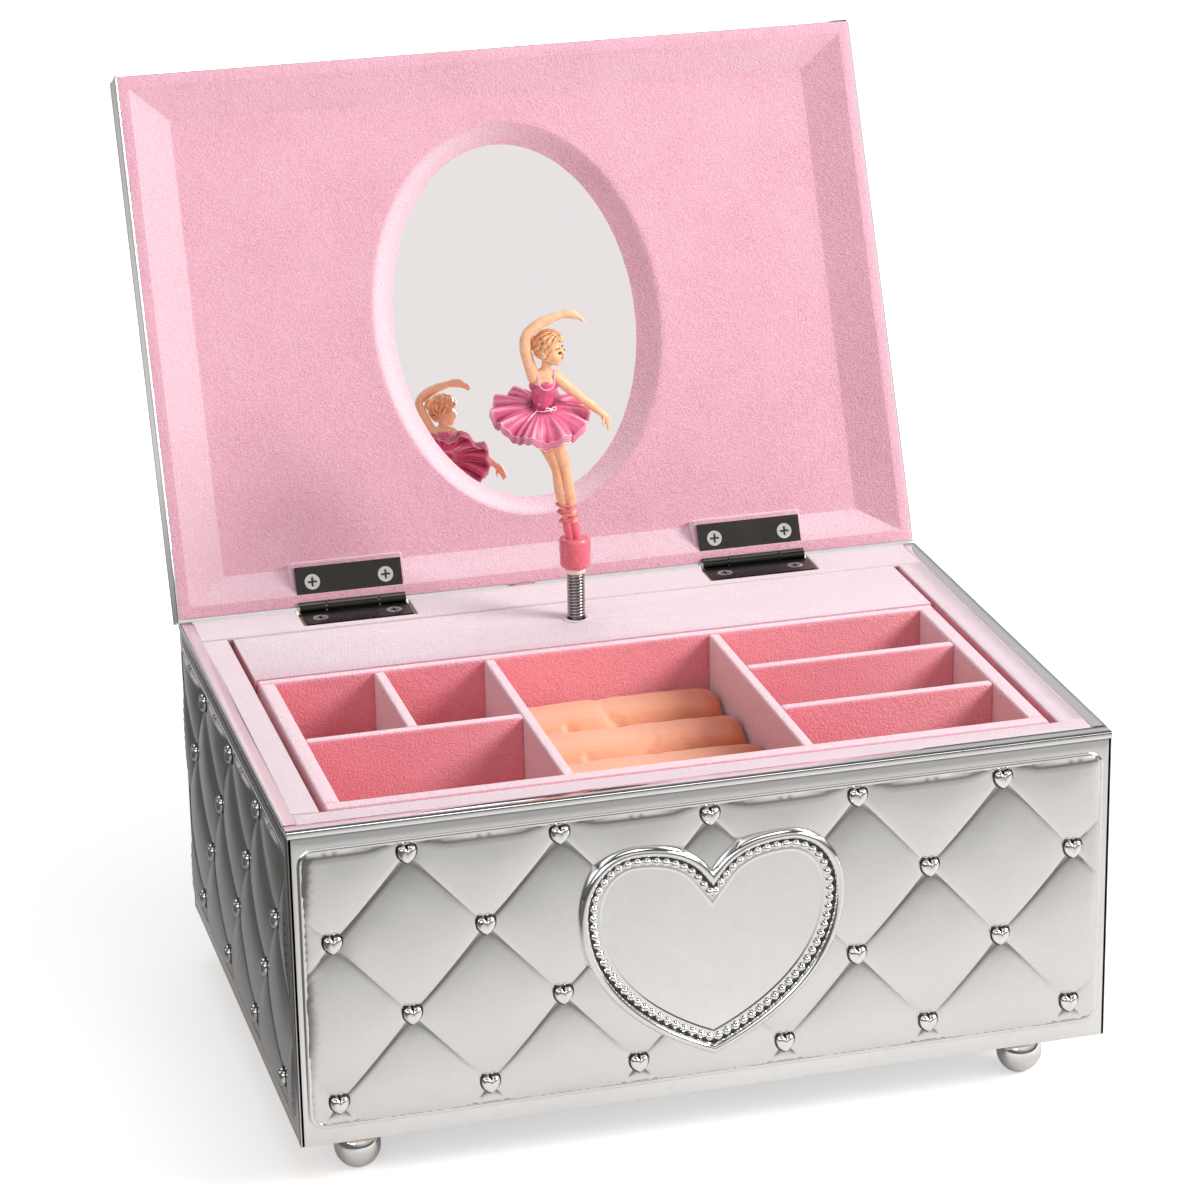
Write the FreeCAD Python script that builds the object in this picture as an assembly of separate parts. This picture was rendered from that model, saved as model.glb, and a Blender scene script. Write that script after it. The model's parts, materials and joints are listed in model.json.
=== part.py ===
"""Ballerina jewellery box: a silver plated box with ball feet and a flocked lift-out tray,
a mirrored lid, and a dancer on a spring that is turned by a wind-up musical movement.

The box is drawn with x across its width from the middle, y from the front face towards
the back, and z up from the underside of the floor. Every part is then moved so that the
origin is on the table, under the middle of the open box, with +Z up. Millimetres.
"""

import math
import os

import FreeCAD
import Part

os.makedirs("parts", exist_ok=True)

# ---- driving dimensions ----------------------------------------------------------------
WIDTH = 178.0
DEPTH = 126.0
HEIGHT = 71.0
FOOT_HEIGHT = 12.5
LID_THICK = 10.0
LID_OVERHANG = 1.0
LID_GAP = 0.3
LID_OPEN_DEG = 113.5
ORIGIN_Y = 91.5

SHEET = 0.8
SIDE_LIP = 3.0
FRONT_LIP = 3.8
VELVET = 0.8
FLOOR_THICK = 4.0
WALL_FRONT_Y = 8.2
WALL_SIDE_X = 81.0
WALL_BACK_Y = 112.6
LINED_X = WALL_SIDE_X - VELVET
LINED_Y = WALL_FRONT_Y + VELVET
WOOD_TOP = HEIGHT - VELVET

PARTITION_Y = 86.2
PARTITION_THICK = 2.4
PLATFORM_Z = 67.5
PLATFORM_BOARD = 2.8
PLATFORM_X = 79.0
PLATFORM_Y = (85.9, 112.4)

TRAY_X = 78.6
TRAY_Y = (10.0, 85.3)
TRAY_Z = 43.3
TRAY_TOP = 70.9
TRAY_WALL = 3.5
TRAY_BACK_WALL = 2.4
TRAY_FLOOR = 2.0
DIVIDER = 2.4
DIVIDER_TOP = 70.7
DIVIDER_LEFT_X = -26.5
DIVIDER_RIGHT_X = 25.9
CROSS_LEFT_Y = 48.4
STUB_X = -51.6
CROSS_RIGHT_Y = (36.0, 61.0)
ROLL_COUNT = 4
ROLL_RADIUS = 8.55
ROLL_TOP = 61.0

HINGE_X = (-48.5, 48.5)
HINGE_WIDTH = 25.0
HINGE_Y = DEPTH
HINGE_Z = HEIGHT + LID_GAP
LEAF_THICK = 0.8
LEAF_FAR_Y = 116.4
KNUCKLE_R = 1.5
HINGE_PIN_R = 0.6
RUNNING = 0.03
HINGE_SCREW_X = 8.65
HINGE_SCREW_Y = 120.0

FOOT_X = 74.5
FOOT_Y = (13.5, 112.5)
FOOT_R = 5.0

STUD_PITCH_X = 32.2
STUD_PITCH_Y = 31.5
STUD_PITCH_Z = 18.17
STUD_LOW_Z = 9.0
STUD_HEIGHT = 1.2

SPINDLE_X = -1.2
SPINDLE_Y = 102.0
BARREL_X = SPINDLE_X - 13.5
CROWN_R = 9.6
CYLINDER_Z = 15.9
GOVERNOR_Y = SPINDLE_Y + 6.24
GOVERNOR_Z = CYLINDER_Z + 8.32
CLICK_X = BARREL_X + 8.7
CLICK_Y = SPINDLE_Y - 7.0

X_AXIS = FreeCAD.Vector(1, 0, 0)
Y_AXIS = FreeCAD.Vector(0, 1, 0)
Z_AXIS = FreeCAD.Vector(0, 0, 1)


# ---- building blocks -------------------------------------------------------------------
def vec(x, y, z):
    return FreeCAD.Vector(x, y, z)


def block(x, y, z):
    """A block from its (low, high) pairs along x, y and z."""
    size = (x[1] - x[0], y[1] - y[0], z[1] - z[0])
    return Part.makeBox(*size, vec(x[0], y[0], z[0]))


def rod(radius, start, end):
    """A round rod between two points."""
    start, end = vec(*start), vec(*end)
    return Part.makeCylinder(radius, (end - start).Length, start, end - start)


def upright(radius, x, y, z):
    """A vertical rod at (x, y) over the (low, high) pair z."""
    return rod(radius, (x, y, z[0]), (x, y, z[1]))


def prism(points, axis, start, length):
    """A closed outline of (a, b) pairs pushed along an axis: 'x' takes (y, z), 'y' (x, z), 'z' (x, y)."""
    place = {
        "x": lambda a, b: vec(start, a, b),
        "y": lambda a, b: vec(a, start, b),
        "z": lambda a, b: vec(a, b, start),
    }[axis]
    push = {"x": X_AXIS, "y": Y_AXIS, "z": Z_AXIS}[axis] * length
    corners = [place(a, b) for a, b in points]
    return Part.Face(Part.makePolygon(corners + corners[:1])).extrude(push)


def turned(profile, x, y):
    """A solid turned about the vertical line at (x, y) from (radius, z) pairs."""
    corners = [vec(x + r, y, z) for r, z in profile]
    face = Part.Face(Part.makePolygon(corners + corners[:1]))
    return face.revolve(vec(x, y, 0), Z_AXIS, 360)


def joined(shapes):
    whole = shapes[0]
    return whole.fuse(list(shapes[1:])).removeSplitter() if len(shapes) > 1 else whole


def group(shapes):
    return Part.makeCompound(shapes)


def mirrored_x(shape):
    return shape.mirror(vec(0, 0, 0), X_AXIS)


def lid_opened(shape):
    """Swings a lid part from closed to the open rest position."""
    shape = shape.copy()
    shape.rotate(vec(0, HINGE_Y, HINGE_Z), X_AXIS, -LID_OPEN_DEG)
    return shape


def save(name, shape):
    shape = shape.copy()
    shape.translate(vec(0, -ORIGIN_Y, FOOT_HEIGHT))
    shape.exportStep("parts/" + name + ".step")


def heart_wire(half_width, top, notch, tip, wide):
    """A heart outline in the xz plane from its main heights, widest at height wide."""
    lobe_x, rise, fall = half_width * 0.56, top - notch, wide - tip
    side = (half_width, wide)
    right = [
        ((0, notch), (lobe_x * 0.22, notch + rise * 0.75), (lobe_x * 0.6, top), (lobe_x, top)),
        ((lobe_x, top), (half_width * 0.81, top), (half_width, wide + (top - wide) * 0.57), side),
        (side, (half_width, tip + fall * 0.5), (half_width * 0.5, tip + fall * 0.17), (0, tip)),
    ]
    edges = []
    for sign in (1, -1):
        for poles in right:
            curve = Part.BezierCurve()
            curve.setPoles([vec(sign * a, 0, b) for a, b in poles])
            edges.append(curve.toShape())
    return Part.Wire(Part.__sortEdges__(edges))


def heart_solid(wire, y, thick):
    solid = Part.Face(wire).extrude(vec(0, thick, 0))
    solid.translate(vec(0, y, 0))
    return solid


# ---- wooden carcass ----------------------------------------------------------------------
def floor_board():
    board = block((SHEET - WIDTH / 2, WIDTH / 2 - SHEET), (SHEET, DEPTH - SHEET), (0, FLOOR_THICK))
    holes = [upright(3.0, BARREL_X, SPINDLE_Y, (-1, 5))]
    for x, y in foot_places():
        holes += [upright(1.55, x, y, (-1, 5)), upright(2.9, x, y, (2.6, 5))]
    for x, y in bedplate_screw_places():
        holes += [upright(1.3, x, y, (-1, 5)), upright(2.6, x, y, (-1, 1.9))]
    return board.cut(holes)


def wall_front():
    x = WIDTH / 2 - SHEET
    return block((-x, x), (SHEET, WALL_FRONT_Y), (FLOOR_THICK, WOOD_TOP))


def wall_left():
    x = (SHEET - WIDTH / 2, -WALL_SIDE_X)
    return block(x, (WALL_FRONT_Y, WALL_BACK_Y), (FLOOR_THICK, WOOD_TOP))


def wall_back():
    x = WIDTH / 2 - SHEET
    wall = block((-x, x), (WALL_BACK_Y, DEPTH - SHEET), (FLOOR_THICK, WOOD_TOP))
    holes = [hinge_notch(hinge) for hinge in HINGE_X]
    for x, y in hinge_screw_places():
        holes.append(upright(0.85, x, y, (62.5, 72)))
    return wall.cut(holes)


def hinge_notch(hinge):
    """The clearance that the barrel of a hinge turns in, in the box and the closed lid."""
    half = HINGE_WIDTH / 2 + 0.4
    return block((hinge - half, hinge + half), (HINGE_Y - 2.0, HINGE_Y + 1), (HINGE_Z - 2.0, HINGE_Z + 2.0))


def hinge_screw_places():
    return [(hinge + side * HINGE_SCREW_X, HINGE_SCREW_Y) for hinge in HINGE_X for side in (-1, 1)]


def partition():
    y = (PARTITION_Y, PARTITION_Y + PARTITION_THICK)
    return block((-LINED_X, LINED_X), y, (FLOOR_THICK, PLATFORM_Z))


def platform_cleat():
    return block((-60, 60), (WALL_BACK_Y - 2.2, WALL_BACK_Y), (PLATFORM_Z - 3, PLATFORM_Z))


def platform_layer(low, high):
    layer = block((-PLATFORM_X, PLATFORM_X), PLATFORM_Y, (low, high))
    return layer.cut(upright(3.1, SPINDLE_X, SPINDLE_Y, (low - 1, high + 1)))


def tray_ledges():
    ledge = block((LINED_X - 4.2, LINED_X), (LINED_Y, PARTITION_Y - 0.6), (39, 43))
    return group([ledge, mirrored_x(ledge)])


# ---- silver plated skin ------------------------------------------------------------------
def shell_front():
    x = (-WIDTH / 2, WIDTH / 2)
    plate = block(x, (0, SHEET), (0, HEIGHT))
    return joined([plate, block(x, (0, FRONT_LIP), (HEIGHT - SHEET, HEIGHT))])


def shell_left():
    y = (SHEET, DEPTH - SHEET)
    plate = block((-WIDTH / 2, SHEET - WIDTH / 2), y, (0, HEIGHT))
    lip_y = (FRONT_LIP, DEPTH - SHEET)
    lip = block((-WIDTH / 2, SIDE_LIP - WIDTH / 2), lip_y, (HEIGHT - SHEET, HEIGHT))
    corner = block((-WIDTH / 2, SHEET - WIDTH / 2), (SHEET, FRONT_LIP), (HEIGHT - SHEET, HEIGHT))
    return joined([plate.cut(corner), lip])


def shell_back():
    plate = block((-WIDTH / 2, WIDTH / 2), (DEPTH - SHEET, DEPTH), (0, HEIGHT))
    return plate.cut([hinge_notch(hinge) for hinge in HINGE_X])


def heart_stud():
    """A small heart standing off the xz plane towards -y, centred on the origin."""
    wire = heart_wire(1.8, 1.6, 1.0, -1.9, 0.5)
    return heart_solid(wire, -STUD_HEIGHT, STUD_HEIGHT)


def stud_grid(pitch, columns, rows, skip):
    """Stud places in staggered rows: odd rows have one more stud, half a pitch out."""
    places = []
    for row in range(rows):
        count = columns + (row + 1) % 2
        for n in range(count):
            across = (n - (count - 1) / 2) * pitch
            if (row, round(across / pitch, 1)) not in skip:
                places.append((across, row * STUD_PITCH_Z))
    return places


def box_studs():
    studs = []
    hidden = {(1, 0.0), (2, 0.5), (2, -0.5)}
    for across, up in stud_grid(STUD_PITCH_X, 5, 4, hidden):
        stud = heart_stud()
        stud.translate(vec(across, 0, STUD_LOW_Z + up))
        studs.append(stud)
    for across, up in stud_grid(STUD_PITCH_X, 5, 4, set()):
        stud = heart_stud()
        stud.rotate(vec(0, 0, 0), Z_AXIS, 180)
        stud.translate(vec(across, DEPTH, STUD_LOW_Z + up))
        studs.append(stud)
    for across, up in stud_grid(STUD_PITCH_Y, 3, 4, set()):
        stud = heart_stud()
        stud.rotate(vec(0, 0, 0), Z_AXIS, -90)
        stud.translate(vec(-WIDTH / 2, DEPTH / 2 + across, STUD_LOW_Z + up))
        studs += [stud, mirrored_x(stud)]
    return group(studs)


def heart_plaque():
    """The engraving plate on the front: a flat heart with a raised rounded rim."""
    outer = heart_wire(29.0, 58.8, 51.6, 9.4, 44.0)
    inner = outer.copy()
    inner.scale(0.86, vec(0, 0, 36.0))
    plate = heart_solid(outer, -1.4, 1.4)
    rim = heart_solid(outer, -2.8, 1.4).cut(heart_solid(inner, -3.5, 3.5))
    return joined([plate, rim])


# ---- velvet and felt ---------------------------------------------------------------------
def rim_velvet():
    z = (WOOD_TOP, HEIGHT)
    inner = WIDTH / 2 - SIDE_LIP
    front = block((-inner, inner), (FRONT_LIP, LINED_Y), z)
    left = block((-inner, -LINED_X), (LINED_Y, WALL_BACK_Y), z)
    back = block((-inner, inner), (WALL_BACK_Y, DEPTH - SHEET), z)
    half = HINGE_WIDTH / 2 + 0.8
    y, z_cut = (LEAF_FAR_Y - 0.6, DEPTH), (WOOD_TOP - 1, HEIGHT + 1)
    cuts = [block((h - half, h + half), y, z_cut) for h in HINGE_X]
    return group([front, left, mirrored_x(left), back.cut(cuts)])


def wall_lining():
    z = (FLOOR_THICK, WOOD_TOP)
    front = block((-WALL_SIDE_X, WALL_SIDE_X), (WALL_FRONT_Y, LINED_Y), z)
    left = block((-WALL_SIDE_X, -LINED_X), (LINED_Y, WALL_BACK_Y), z)
    rear = block((-LINED_X, LINED_X), (PARTITION_Y - 0.6, PARTITION_Y), (FLOOR_THICK, PLATFORM_Z))
    return group([front, left, mirrored_x(left), rear])


def floor_lining():
    return block((-LINED_X, LINED_X), (LINED_Y, PARTITION_Y - 0.6), (FLOOR_THICK, FLOOR_THICK + 0.6))


def base_felt():
    felt = block((-84, 84), (4, DEPTH - 4), (-0.6, 0))
    holes = [upright(3.9, x, y, (-2, 1)) for x, y in foot_places()]
    return felt.cut(holes + [upright(4.0, BARREL_X, SPINDLE_Y, (-2, 1))])


# ---- feet --------------------------------------------------------------------------------
def foot_places():
    return [(side * FOOT_X, y) for side in (-1, 1) for y in FOOT_Y]


def ball_feet():
    feet = []
    for x, y in foot_places():
        ball = Part.makeSphere(FOOT_R, vec(x, y, -7.8))
        ball = ball.common(block((x - 6, x + 6), (y - 6, y + 6), (-FOOT_HEIGHT, 0)))
        neck = upright(2.8, x, y, (-5, -0.9))
        seat = upright(3.6, x, y, (-1.0, 0))
        foot = joined([ball, neck, seat]).cut(upright(1.55, x, y, (-7, 1)))
        feet.append(foot)
    return group(feet)


def foot_screws():
    screws = []
    for x, y in foot_places():
        head = turned([(0, 2.6), (2.8, 2.6), (2.8, 3.5), (2.2, 4.0), (0, 4.0)], x, y)
        screws.append(joined([head, upright(1.5, x, y, (-6.5, 2.7))]))
    return group(screws)


# ---- hinges ------------------------------------------------------------------------------
def knuckle(low, high, bore):
    tube = rod(KNUCKLE_R, (low, HINGE_Y, HINGE_Z), (high, HINGE_Y, HINGE_Z))
    return tube.cut(rod(bore, (low - 1, HINGE_Y, HINGE_Z), (high + 1, HINGE_Y, HINGE_Z)))


def countersinks(z_face, up):
    """Screw holes through a leaf whose outer face is at z_face, widening towards that face."""
    holes = []
    for x, y in hinge_screw_places():
        holes.append(rod(1.0, (x, y, z_face - 2), (x, y, z_face + 2)))
        cone = Part.makeCone(1.0, 1.85, 0.6, vec(x, y, z_face - up * 0.6), vec(0, 0, up))
        holes.append(cone)
    return holes


def hinge_leaves_box():
    """Leaves let into the back rim, each with the middle knuckle of its hinge."""
    leaves = []
    z = (HEIGHT - LEAF_THICK, HEIGHT)
    half = HINGE_WIDTH / 2
    for hinge in HINGE_X:
        flat = block((hinge - half, hinge + half), (LEAF_FAR_Y, HINGE_Y - 1.8), z)
        neck = block((hinge - 6.1, hinge + 6.1), (HINGE_Y - 2.0, HINGE_Y - 0.9), z)
        leaf = joined([flat, neck, knuckle(hinge - 6.1, hinge + 6.1, HINGE_PIN_R)])
        leaf = leaf.cut(rod(HINGE_PIN_R, (hinge - 8, HINGE_Y, HINGE_Z), (hinge + 8, HINGE_Y, HINGE_Z)))
        leaves.append(leaf.cut(countersinks(HEIGHT, 1)))
    return group(leaves)


def hinge_leaves_lid():
    """Leaves in the rim of the lid, each with the two end knuckles of its hinge."""
    leaves = []
    low = HINGE_Z + 0.1
    z = (low, low + LEAF_THICK)
    half = HINGE_WIDTH / 2
    bore = HINGE_PIN_R + RUNNING
    for hinge in HINGE_X:
        shapes = [block((hinge - half, hinge + half), (LEAF_FAR_Y, HINGE_Y - 1.8), z)]
        for a, b in ((-half, -6.4), (6.4, half)):
            shapes.append(block((hinge + a, hinge + b), (HINGE_Y - 2.0, HINGE_Y - 0.9), z))
            shapes.append(knuckle(hinge + a, hinge + b, bore))
        leaf = joined(shapes)
        leaf = leaf.cut(rod(bore, (hinge - 15, HINGE_Y, HINGE_Z), (hinge + 15, HINGE_Y, HINGE_Z)))
        leaves.append(leaf.cut(countersinks(low, -1)))
    return group(leaves)


def hinge_pins():
    pins = []
    for hinge in HINGE_X:
        end = HINGE_WIDTH / 2
        pin = rod(HINGE_PIN_R, (hinge - end, HINGE_Y, HINGE_Z), (hinge + end, HINGE_Y, HINGE_Z))
        pins.append(pin)
    return group(pins)


def hinge_screws(z_face, up, length):
    """Countersunk cross-head screws seated in the leaf whose outer face is at z_face."""
    screws = []
    for x, y in hinge_screw_places():
        head = Part.makeCone(0.8, 1.8, 0.6, vec(x, y, z_face - up * 0.58), vec(0, 0, up))
        shank = rod(0.8, (x, y, z_face - up * length), (x, y, z_face - up * 0.5))
        face = z_face + up * 0.02
        slots = []
        for dx, dy in ((1.1, 0.22), (0.22, 1.1)):
            depth = sorted((face + up * 0.5, face - up * 0.3))
            slots.append(block((x - dx, x + dx), (y - dy, y + dy), depth))
        screws.append(joined([head, shank]).cut(slots))
    return group(screws)


# ---- lid, drawn closed -------------------------------------------------------------------
LID_LOW_Z = HINGE_Z
LID_TOP_Z = HINGE_Z + LID_THICK
LID_FRONT_Y = -LID_OVERHANG
LID_IN_X = WIDTH / 2 - SHEET
LID_RIM_Z = LID_LOW_Z + 0.2
FIELD_X = 77.0
FIELD_Y = (8.6, 117.6)
FIELD_Z = 75.8
MIRROR_Z = 79.3
OVAL_Y = 63.0


def lid_shell():
    outer = block((-WIDTH / 2, WIDTH / 2), (LID_FRONT_Y, DEPTH), (LID_LOW_Z, LID_TOP_Z))
    y = (LID_FRONT_Y + SHEET, DEPTH - SHEET)
    inner = block((-LID_IN_X, LID_IN_X), y, (LID_LOW_Z - 1, LID_TOP_Z - SHEET))
    return outer.cut([inner] + [hinge_notch(hinge) for hinge in HINGE_X])


def lid_studs():
    studs = []
    middle = (LID_FRONT_Y + DEPTH) / 2
    for across, along in stud_grid(STUD_PITCH_X, 5, 7, set()):
        stud = heart_stud()
        stud.rotate(vec(0, 0, 0), X_AXIS, -90)
        stud.translate(vec(across, middle - 3 * STUD_PITCH_Z + along, LID_TOP_Z))
        studs.append(stud)
    return group(studs)


def lid_frame_ring():
    """The bevelled picture frame round the inside of the lid, before it is mitred."""
    y = (LID_FRONT_Y + SHEET, DEPTH - SHEET)
    ring = block((-LID_IN_X, LID_IN_X), y, (LID_RIM_Z, LID_TOP_Z - SHEET))
    low = rectangle(86.7, (2.0, 123.5), LID_RIM_Z)
    high = rectangle(FIELD_X, FIELD_Y, FIELD_Z)
    ring = ring.cut(Part.makeLoft([low, high], True, True))
    return ring.cut(block((-FIELD_X, FIELD_X), FIELD_Y, (FIELD_Z - 0.01, LID_TOP_Z)))


def rectangle(half, y, z):
    corners = [vec(-half, y[0], z), vec(half, y[0], z), vec(half, y[1], z), vec(-half, y[1], z)]
    return Part.makePolygon(corners + corners[:1])


def lid_rails():
    """Four mitred rails. The back one carries a flat pad for each hinge leaf."""
    ring = lid_frame_ring()
    y_low, y_high = LID_FRONT_Y + SHEET, DEPTH - SHEET
    outer = [(-LID_IN_X, y_low), (LID_IN_X, y_low), (LID_IN_X, y_high), (-LID_IN_X, y_high)]
    inner = [(-FIELD_X, FIELD_Y[0]), (FIELD_X, FIELD_Y[0]), (FIELD_X, FIELD_Y[1]), (-FIELD_X, FIELD_Y[1])]
    rails = []
    for n in range(4):
        m = (n + 1) % 4
        wedge = prism([outer[n], outer[m], inner[m], inner[n]], "z", LID_RIM_Z - 1, 12)
        rails.append(ring.common(wedge).Solids[0])
    pads = [hinge_pad(hinge) for hinge in HINGE_X]
    cuts = [hinge_notch(hinge) for hinge in HINGE_X]
    cuts += [hinge_seat(hinge) for hinge in HINGE_X]
    cuts += [upright(0.85, x, y, (70, 79.0)) for x, y in hinge_screw_places()]
    rails[2] = joined([rails[2]] + pads).cut(cuts)
    return group(rails)


def hinge_pad(hinge):
    half = HINGE_WIDTH / 2 + 0.8
    z = (HINGE_Z + 0.1 + LEAF_THICK, LID_TOP_Z - SHEET)
    return block((hinge - half, hinge + half), (115.6, DEPTH - 2.1), z)


def hinge_seat(hinge):
    half = HINGE_WIDTH / 2 + 0.8
    return block((hinge - half, hinge + half), (115.6, DEPTH), (LID_LOW_Z, HINGE_Z + 0.1 + LEAF_THICK))


def oval(half_x, half_y, z):
    ellipse = Part.Ellipse(vec(0, 0, 0), half_y, half_x)
    wire = Part.Wire(ellipse.toShape())
    wire.rotate(vec(0, 0, 0), Z_AXIS, 90)
    wire.translate(vec(0, OVAL_Y, z))
    return wire


def lid_panel():
    """The flocked inner board, with a sloping oval window and a pocket for the mirror."""
    panel = block((-FIELD_X, FIELD_X), FIELD_Y, (FIELD_Z, LID_TOP_Z - SHEET))
    window = Part.makeLoft([oval(34.7, 46.5, FIELD_Z), oval(29.2, 42.0, MIRROR_Z)], True, True)
    pocket = Part.Face(oval(33.2, 46.2, MIRROR_Z)).extrude(vec(0, 0, 2))
    seats = [block((h - 13.4, h + 13.4), (115.5, 118), (70, 82)) for h in HINGE_X]
    return panel.cut([window, pocket] + seats)


def mirror():
    glass = Part.Face(oval(33.0, 46.0, MIRROR_Z)).extrude(vec(0, 0, LID_TOP_Z - SHEET - MIRROR_Z))
    return glass


# ---- lift-out tray -----------------------------------------------------------------------
TRAY_IN_X = TRAY_X - TRAY_WALL
TRAY_IN_Y = (TRAY_Y[0] + 3.4, TRAY_Y[1] - TRAY_BACK_WALL)
TRAY_IN_Z = TRAY_Z + TRAY_FLOOR


def tray_floor():
    return block((-TRAY_X, TRAY_X), TRAY_Y, (TRAY_Z, TRAY_IN_Z))


def tray_wall_front():
    return block((-TRAY_X, TRAY_X), (TRAY_Y[0], TRAY_IN_Y[0]), (TRAY_IN_Z, TRAY_TOP))


def tray_wall_back():
    return block((-TRAY_X, TRAY_X), (TRAY_IN_Y[1], TRAY_Y[1]), (TRAY_IN_Z, TRAY_TOP))


def tray_walls_side():
    wall = block((-TRAY_X, -TRAY_IN_X), TRAY_IN_Y, (TRAY_IN_Z, TRAY_TOP))
    return group([wall, mirrored_x(wall)])


def tray_divider(x):
    return block((x - DIVIDER / 2, x + DIVIDER / 2), TRAY_IN_Y, (TRAY_IN_Z, DIVIDER_TOP))


def tray_cross_dividers():
    half = DIVIDER / 2
    z = (TRAY_IN_Z, DIVIDER_TOP)
    left = block((-TRAY_IN_X, DIVIDER_LEFT_X - half), (CROSS_LEFT_Y - half, CROSS_LEFT_Y + half), z)
    stub = block((STUB_X - half, STUB_X + half), (CROSS_LEFT_Y + half, TRAY_IN_Y[1]), z)
    right = [block((DIVIDER_RIGHT_X + half, TRAY_IN_X), (y - half, y + half), z) for y in CROSS_RIGHT_Y]
    return group([left, stub] + right)


def ring_rolls():
    """Padded satin rolls that grip rings between them, side by side in the middle bay."""
    x = (DIVIDER_LEFT_X + DIVIDER / 2 + 0.2, DIVIDER_RIGHT_X - DIVIDER / 2 - 0.2)
    pitch = (TRAY_IN_Y[1] - TRAY_IN_Y[0]) / ROLL_COUNT
    z = ROLL_TOP - ROLL_RADIUS
    above_floor = block(x, TRAY_IN_Y, (TRAY_Z + TRAY_FLOOR + 0.2, ROLL_TOP + 1))
    rolls = []
    for n in range(ROLL_COUNT):
        y = TRAY_IN_Y[0] + (n + 0.5) * pitch
        rolls.append(rod(ROLL_RADIUS, (x[0], y, z), (x[1], y, z)).common(above_floor))
    return group(rolls)


# ---- gear teeth --------------------------------------------------------------------------
PRESSURE = math.radians(20)


def involute(angle):
    return math.tan(angle) - angle


def gear_outline(teeth, module, first, tip, root, thin):
    """(a, b) pairs of an involute gear.

    first is the angle of a tooth's middle, and thin is the slack on each flank.
    """
    pitch_r = module * teeth / 2
    base_r = pitch_r * math.cos(PRESSURE)
    half_at_pitch = math.pi / (2 * teeth) - thin / pitch_r
    low = max(base_r, pitch_r - root)
    flank = [low + (pitch_r + tip - low) * n / 4 for n in range(5)]
    side = [(pitch_r - root, half_at_pitch + involute(PRESSURE))] if low > pitch_r - root else []
    for r in flank:
        side.append((r, half_at_pitch + involute(PRESSURE) - involute(math.acos(base_r / r))))
    points = []
    for n in range(teeth):
        middle = first + 2 * math.pi * n / teeth
        for r, half in side:
            points.append((r * math.cos(middle - half), r * math.sin(middle - half)))
        for r, half in reversed(side):
            points.append((r * math.cos(middle + half), r * math.sin(middle + half)))
    return points


def placed(points, a, b):
    return [(p + a, q + b) for p, q in points]


# ---- musical movement --------------------------------------------------------------------
BEDPLATE_X = (SPINDLE_X - 64.8, SPINDLE_X + 10.2)
BEDPLATE_Y = (89.0, 111.5)
BEDPLATE_TOP = 6.5
COMB_X = (-50.2, -28.4)
POST_RIGHT_X = (-22.8, -21.4)
POST_LEFT_X = (-56.0, -54.5)
POST_FAN_X = (-65.0, -63.5)


def bedplate_screw_places():
    return [(x, y) for x in (-62.0, 5.0) for y in (92.0, 108.5)]


def bearing_post(x, with_arm):
    """A post that carries the cylinder's axle, with an arm up to the governor's if asked."""
    outline = [(99.0, 6.0), (105.0, 6.0), (104.0, 17.6), (100.0, 17.6)]
    post = prism(outline, "x", x[0], x[1] - x[0])
    if with_arm:
        arm = [(101.0, 6.0), (105.5, 6.0), (110.0, 24.0), (109.0, 26.2), (107.0, 26.2)]
        post = joined([post, prism(arm, "x", x[0], x[1] - x[0])])
    return post


def movement_bedplate():
    plate = block(BEDPLATE_X, BEDPLATE_Y, (FLOOR_THICK, BEDPLATE_TOP))
    comb_seat = block(COMB_X, (89.3, 91.9), (6, 15.5))
    posts = [bearing_post(POST_RIGHT_X, False), bearing_post(POST_LEFT_X, True)]
    fan_outline = [(105.0, 6.0), (110.5, 6.0), (110.0, 26.2), (106.5, 26.2)]
    fan_post = prism(fan_outline, "x", POST_FAN_X[0], POST_FAN_X[1] - POST_FAN_X[0])
    click_pin = upright(0.7, CLICK_X, CLICK_Y, (6, 9.4))
    holes = [upright(1.5 + RUNNING, BARREL_X, SPINDLE_Y, (3, 8))]
    holes.append(upright(1.2 + RUNNING, SPINDLE_X, SPINDLE_Y, (5, 8)))
    holes.append(rod(0.8 + RUNNING, (-60, SPINDLE_Y, CYLINDER_Z), (-20, SPINDLE_Y, CYLINDER_Z)))
    holes.append(rod(0.6 + RUNNING, (-70, GOVERNOR_Y, GOVERNOR_Z), (-50, GOVERNOR_Y, GOVERNOR_Z)))
    holes += [upright(1.25, x, y, (3, 8)) for x, y in bedplate_screw_places()]
    holes += [upright(0.75, x, 90.6, (12, 17)) for x in comb_screw_places()]
    return joined([plate, comb_seat, fan_post, click_pin] + posts).cut(holes)


def comb_screw_places():
    return [COMB_X[0] + 3.0, (COMB_X[0] + COMB_X[1]) / 2, COMB_X[1] - 3.0]


def movement_bridge():
    """The top plate on its three pillars, which steadies the barrel and the dancer's spindle."""
    plate = block((-29.0, 9.0), (92.5, 111.5), (36, 38))
    pillars = [upright(1.6, x, y, (BEDPLATE_TOP, 36.5)) for x, y in ((6, 94.5), (6, 109.0), (-27, 109.5))]
    holes = [upright(1.5 + RUNNING, BARREL_X, SPINDLE_Y, (35, 39))]
    holes.append(upright(1.2 + RUNNING, SPINDLE_X, SPINDLE_Y, (35, 39)))
    return joined([plate] + pillars).cut(holes)


def comb():
    """The steel comb: eighteen tuned teeth from one plate."""
    plate = block(COMB_X, (89.3, 92.4), (15.5, 16.2))
    pitch = (COMB_X[1] - COMB_X[0]) / 18
    teeth = []
    for n in range(18):
        x = COMB_X[0] + n * pitch
        teeth.append(block((x + 0.15, x + pitch - 0.15), (92.3, 96.7), (15.6, 16.1)))
    holes = [upright(0.75, x, 90.6, (15, 17)) for x in comb_screw_places()]
    return joined([plate] + teeth).cut(holes)


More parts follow.
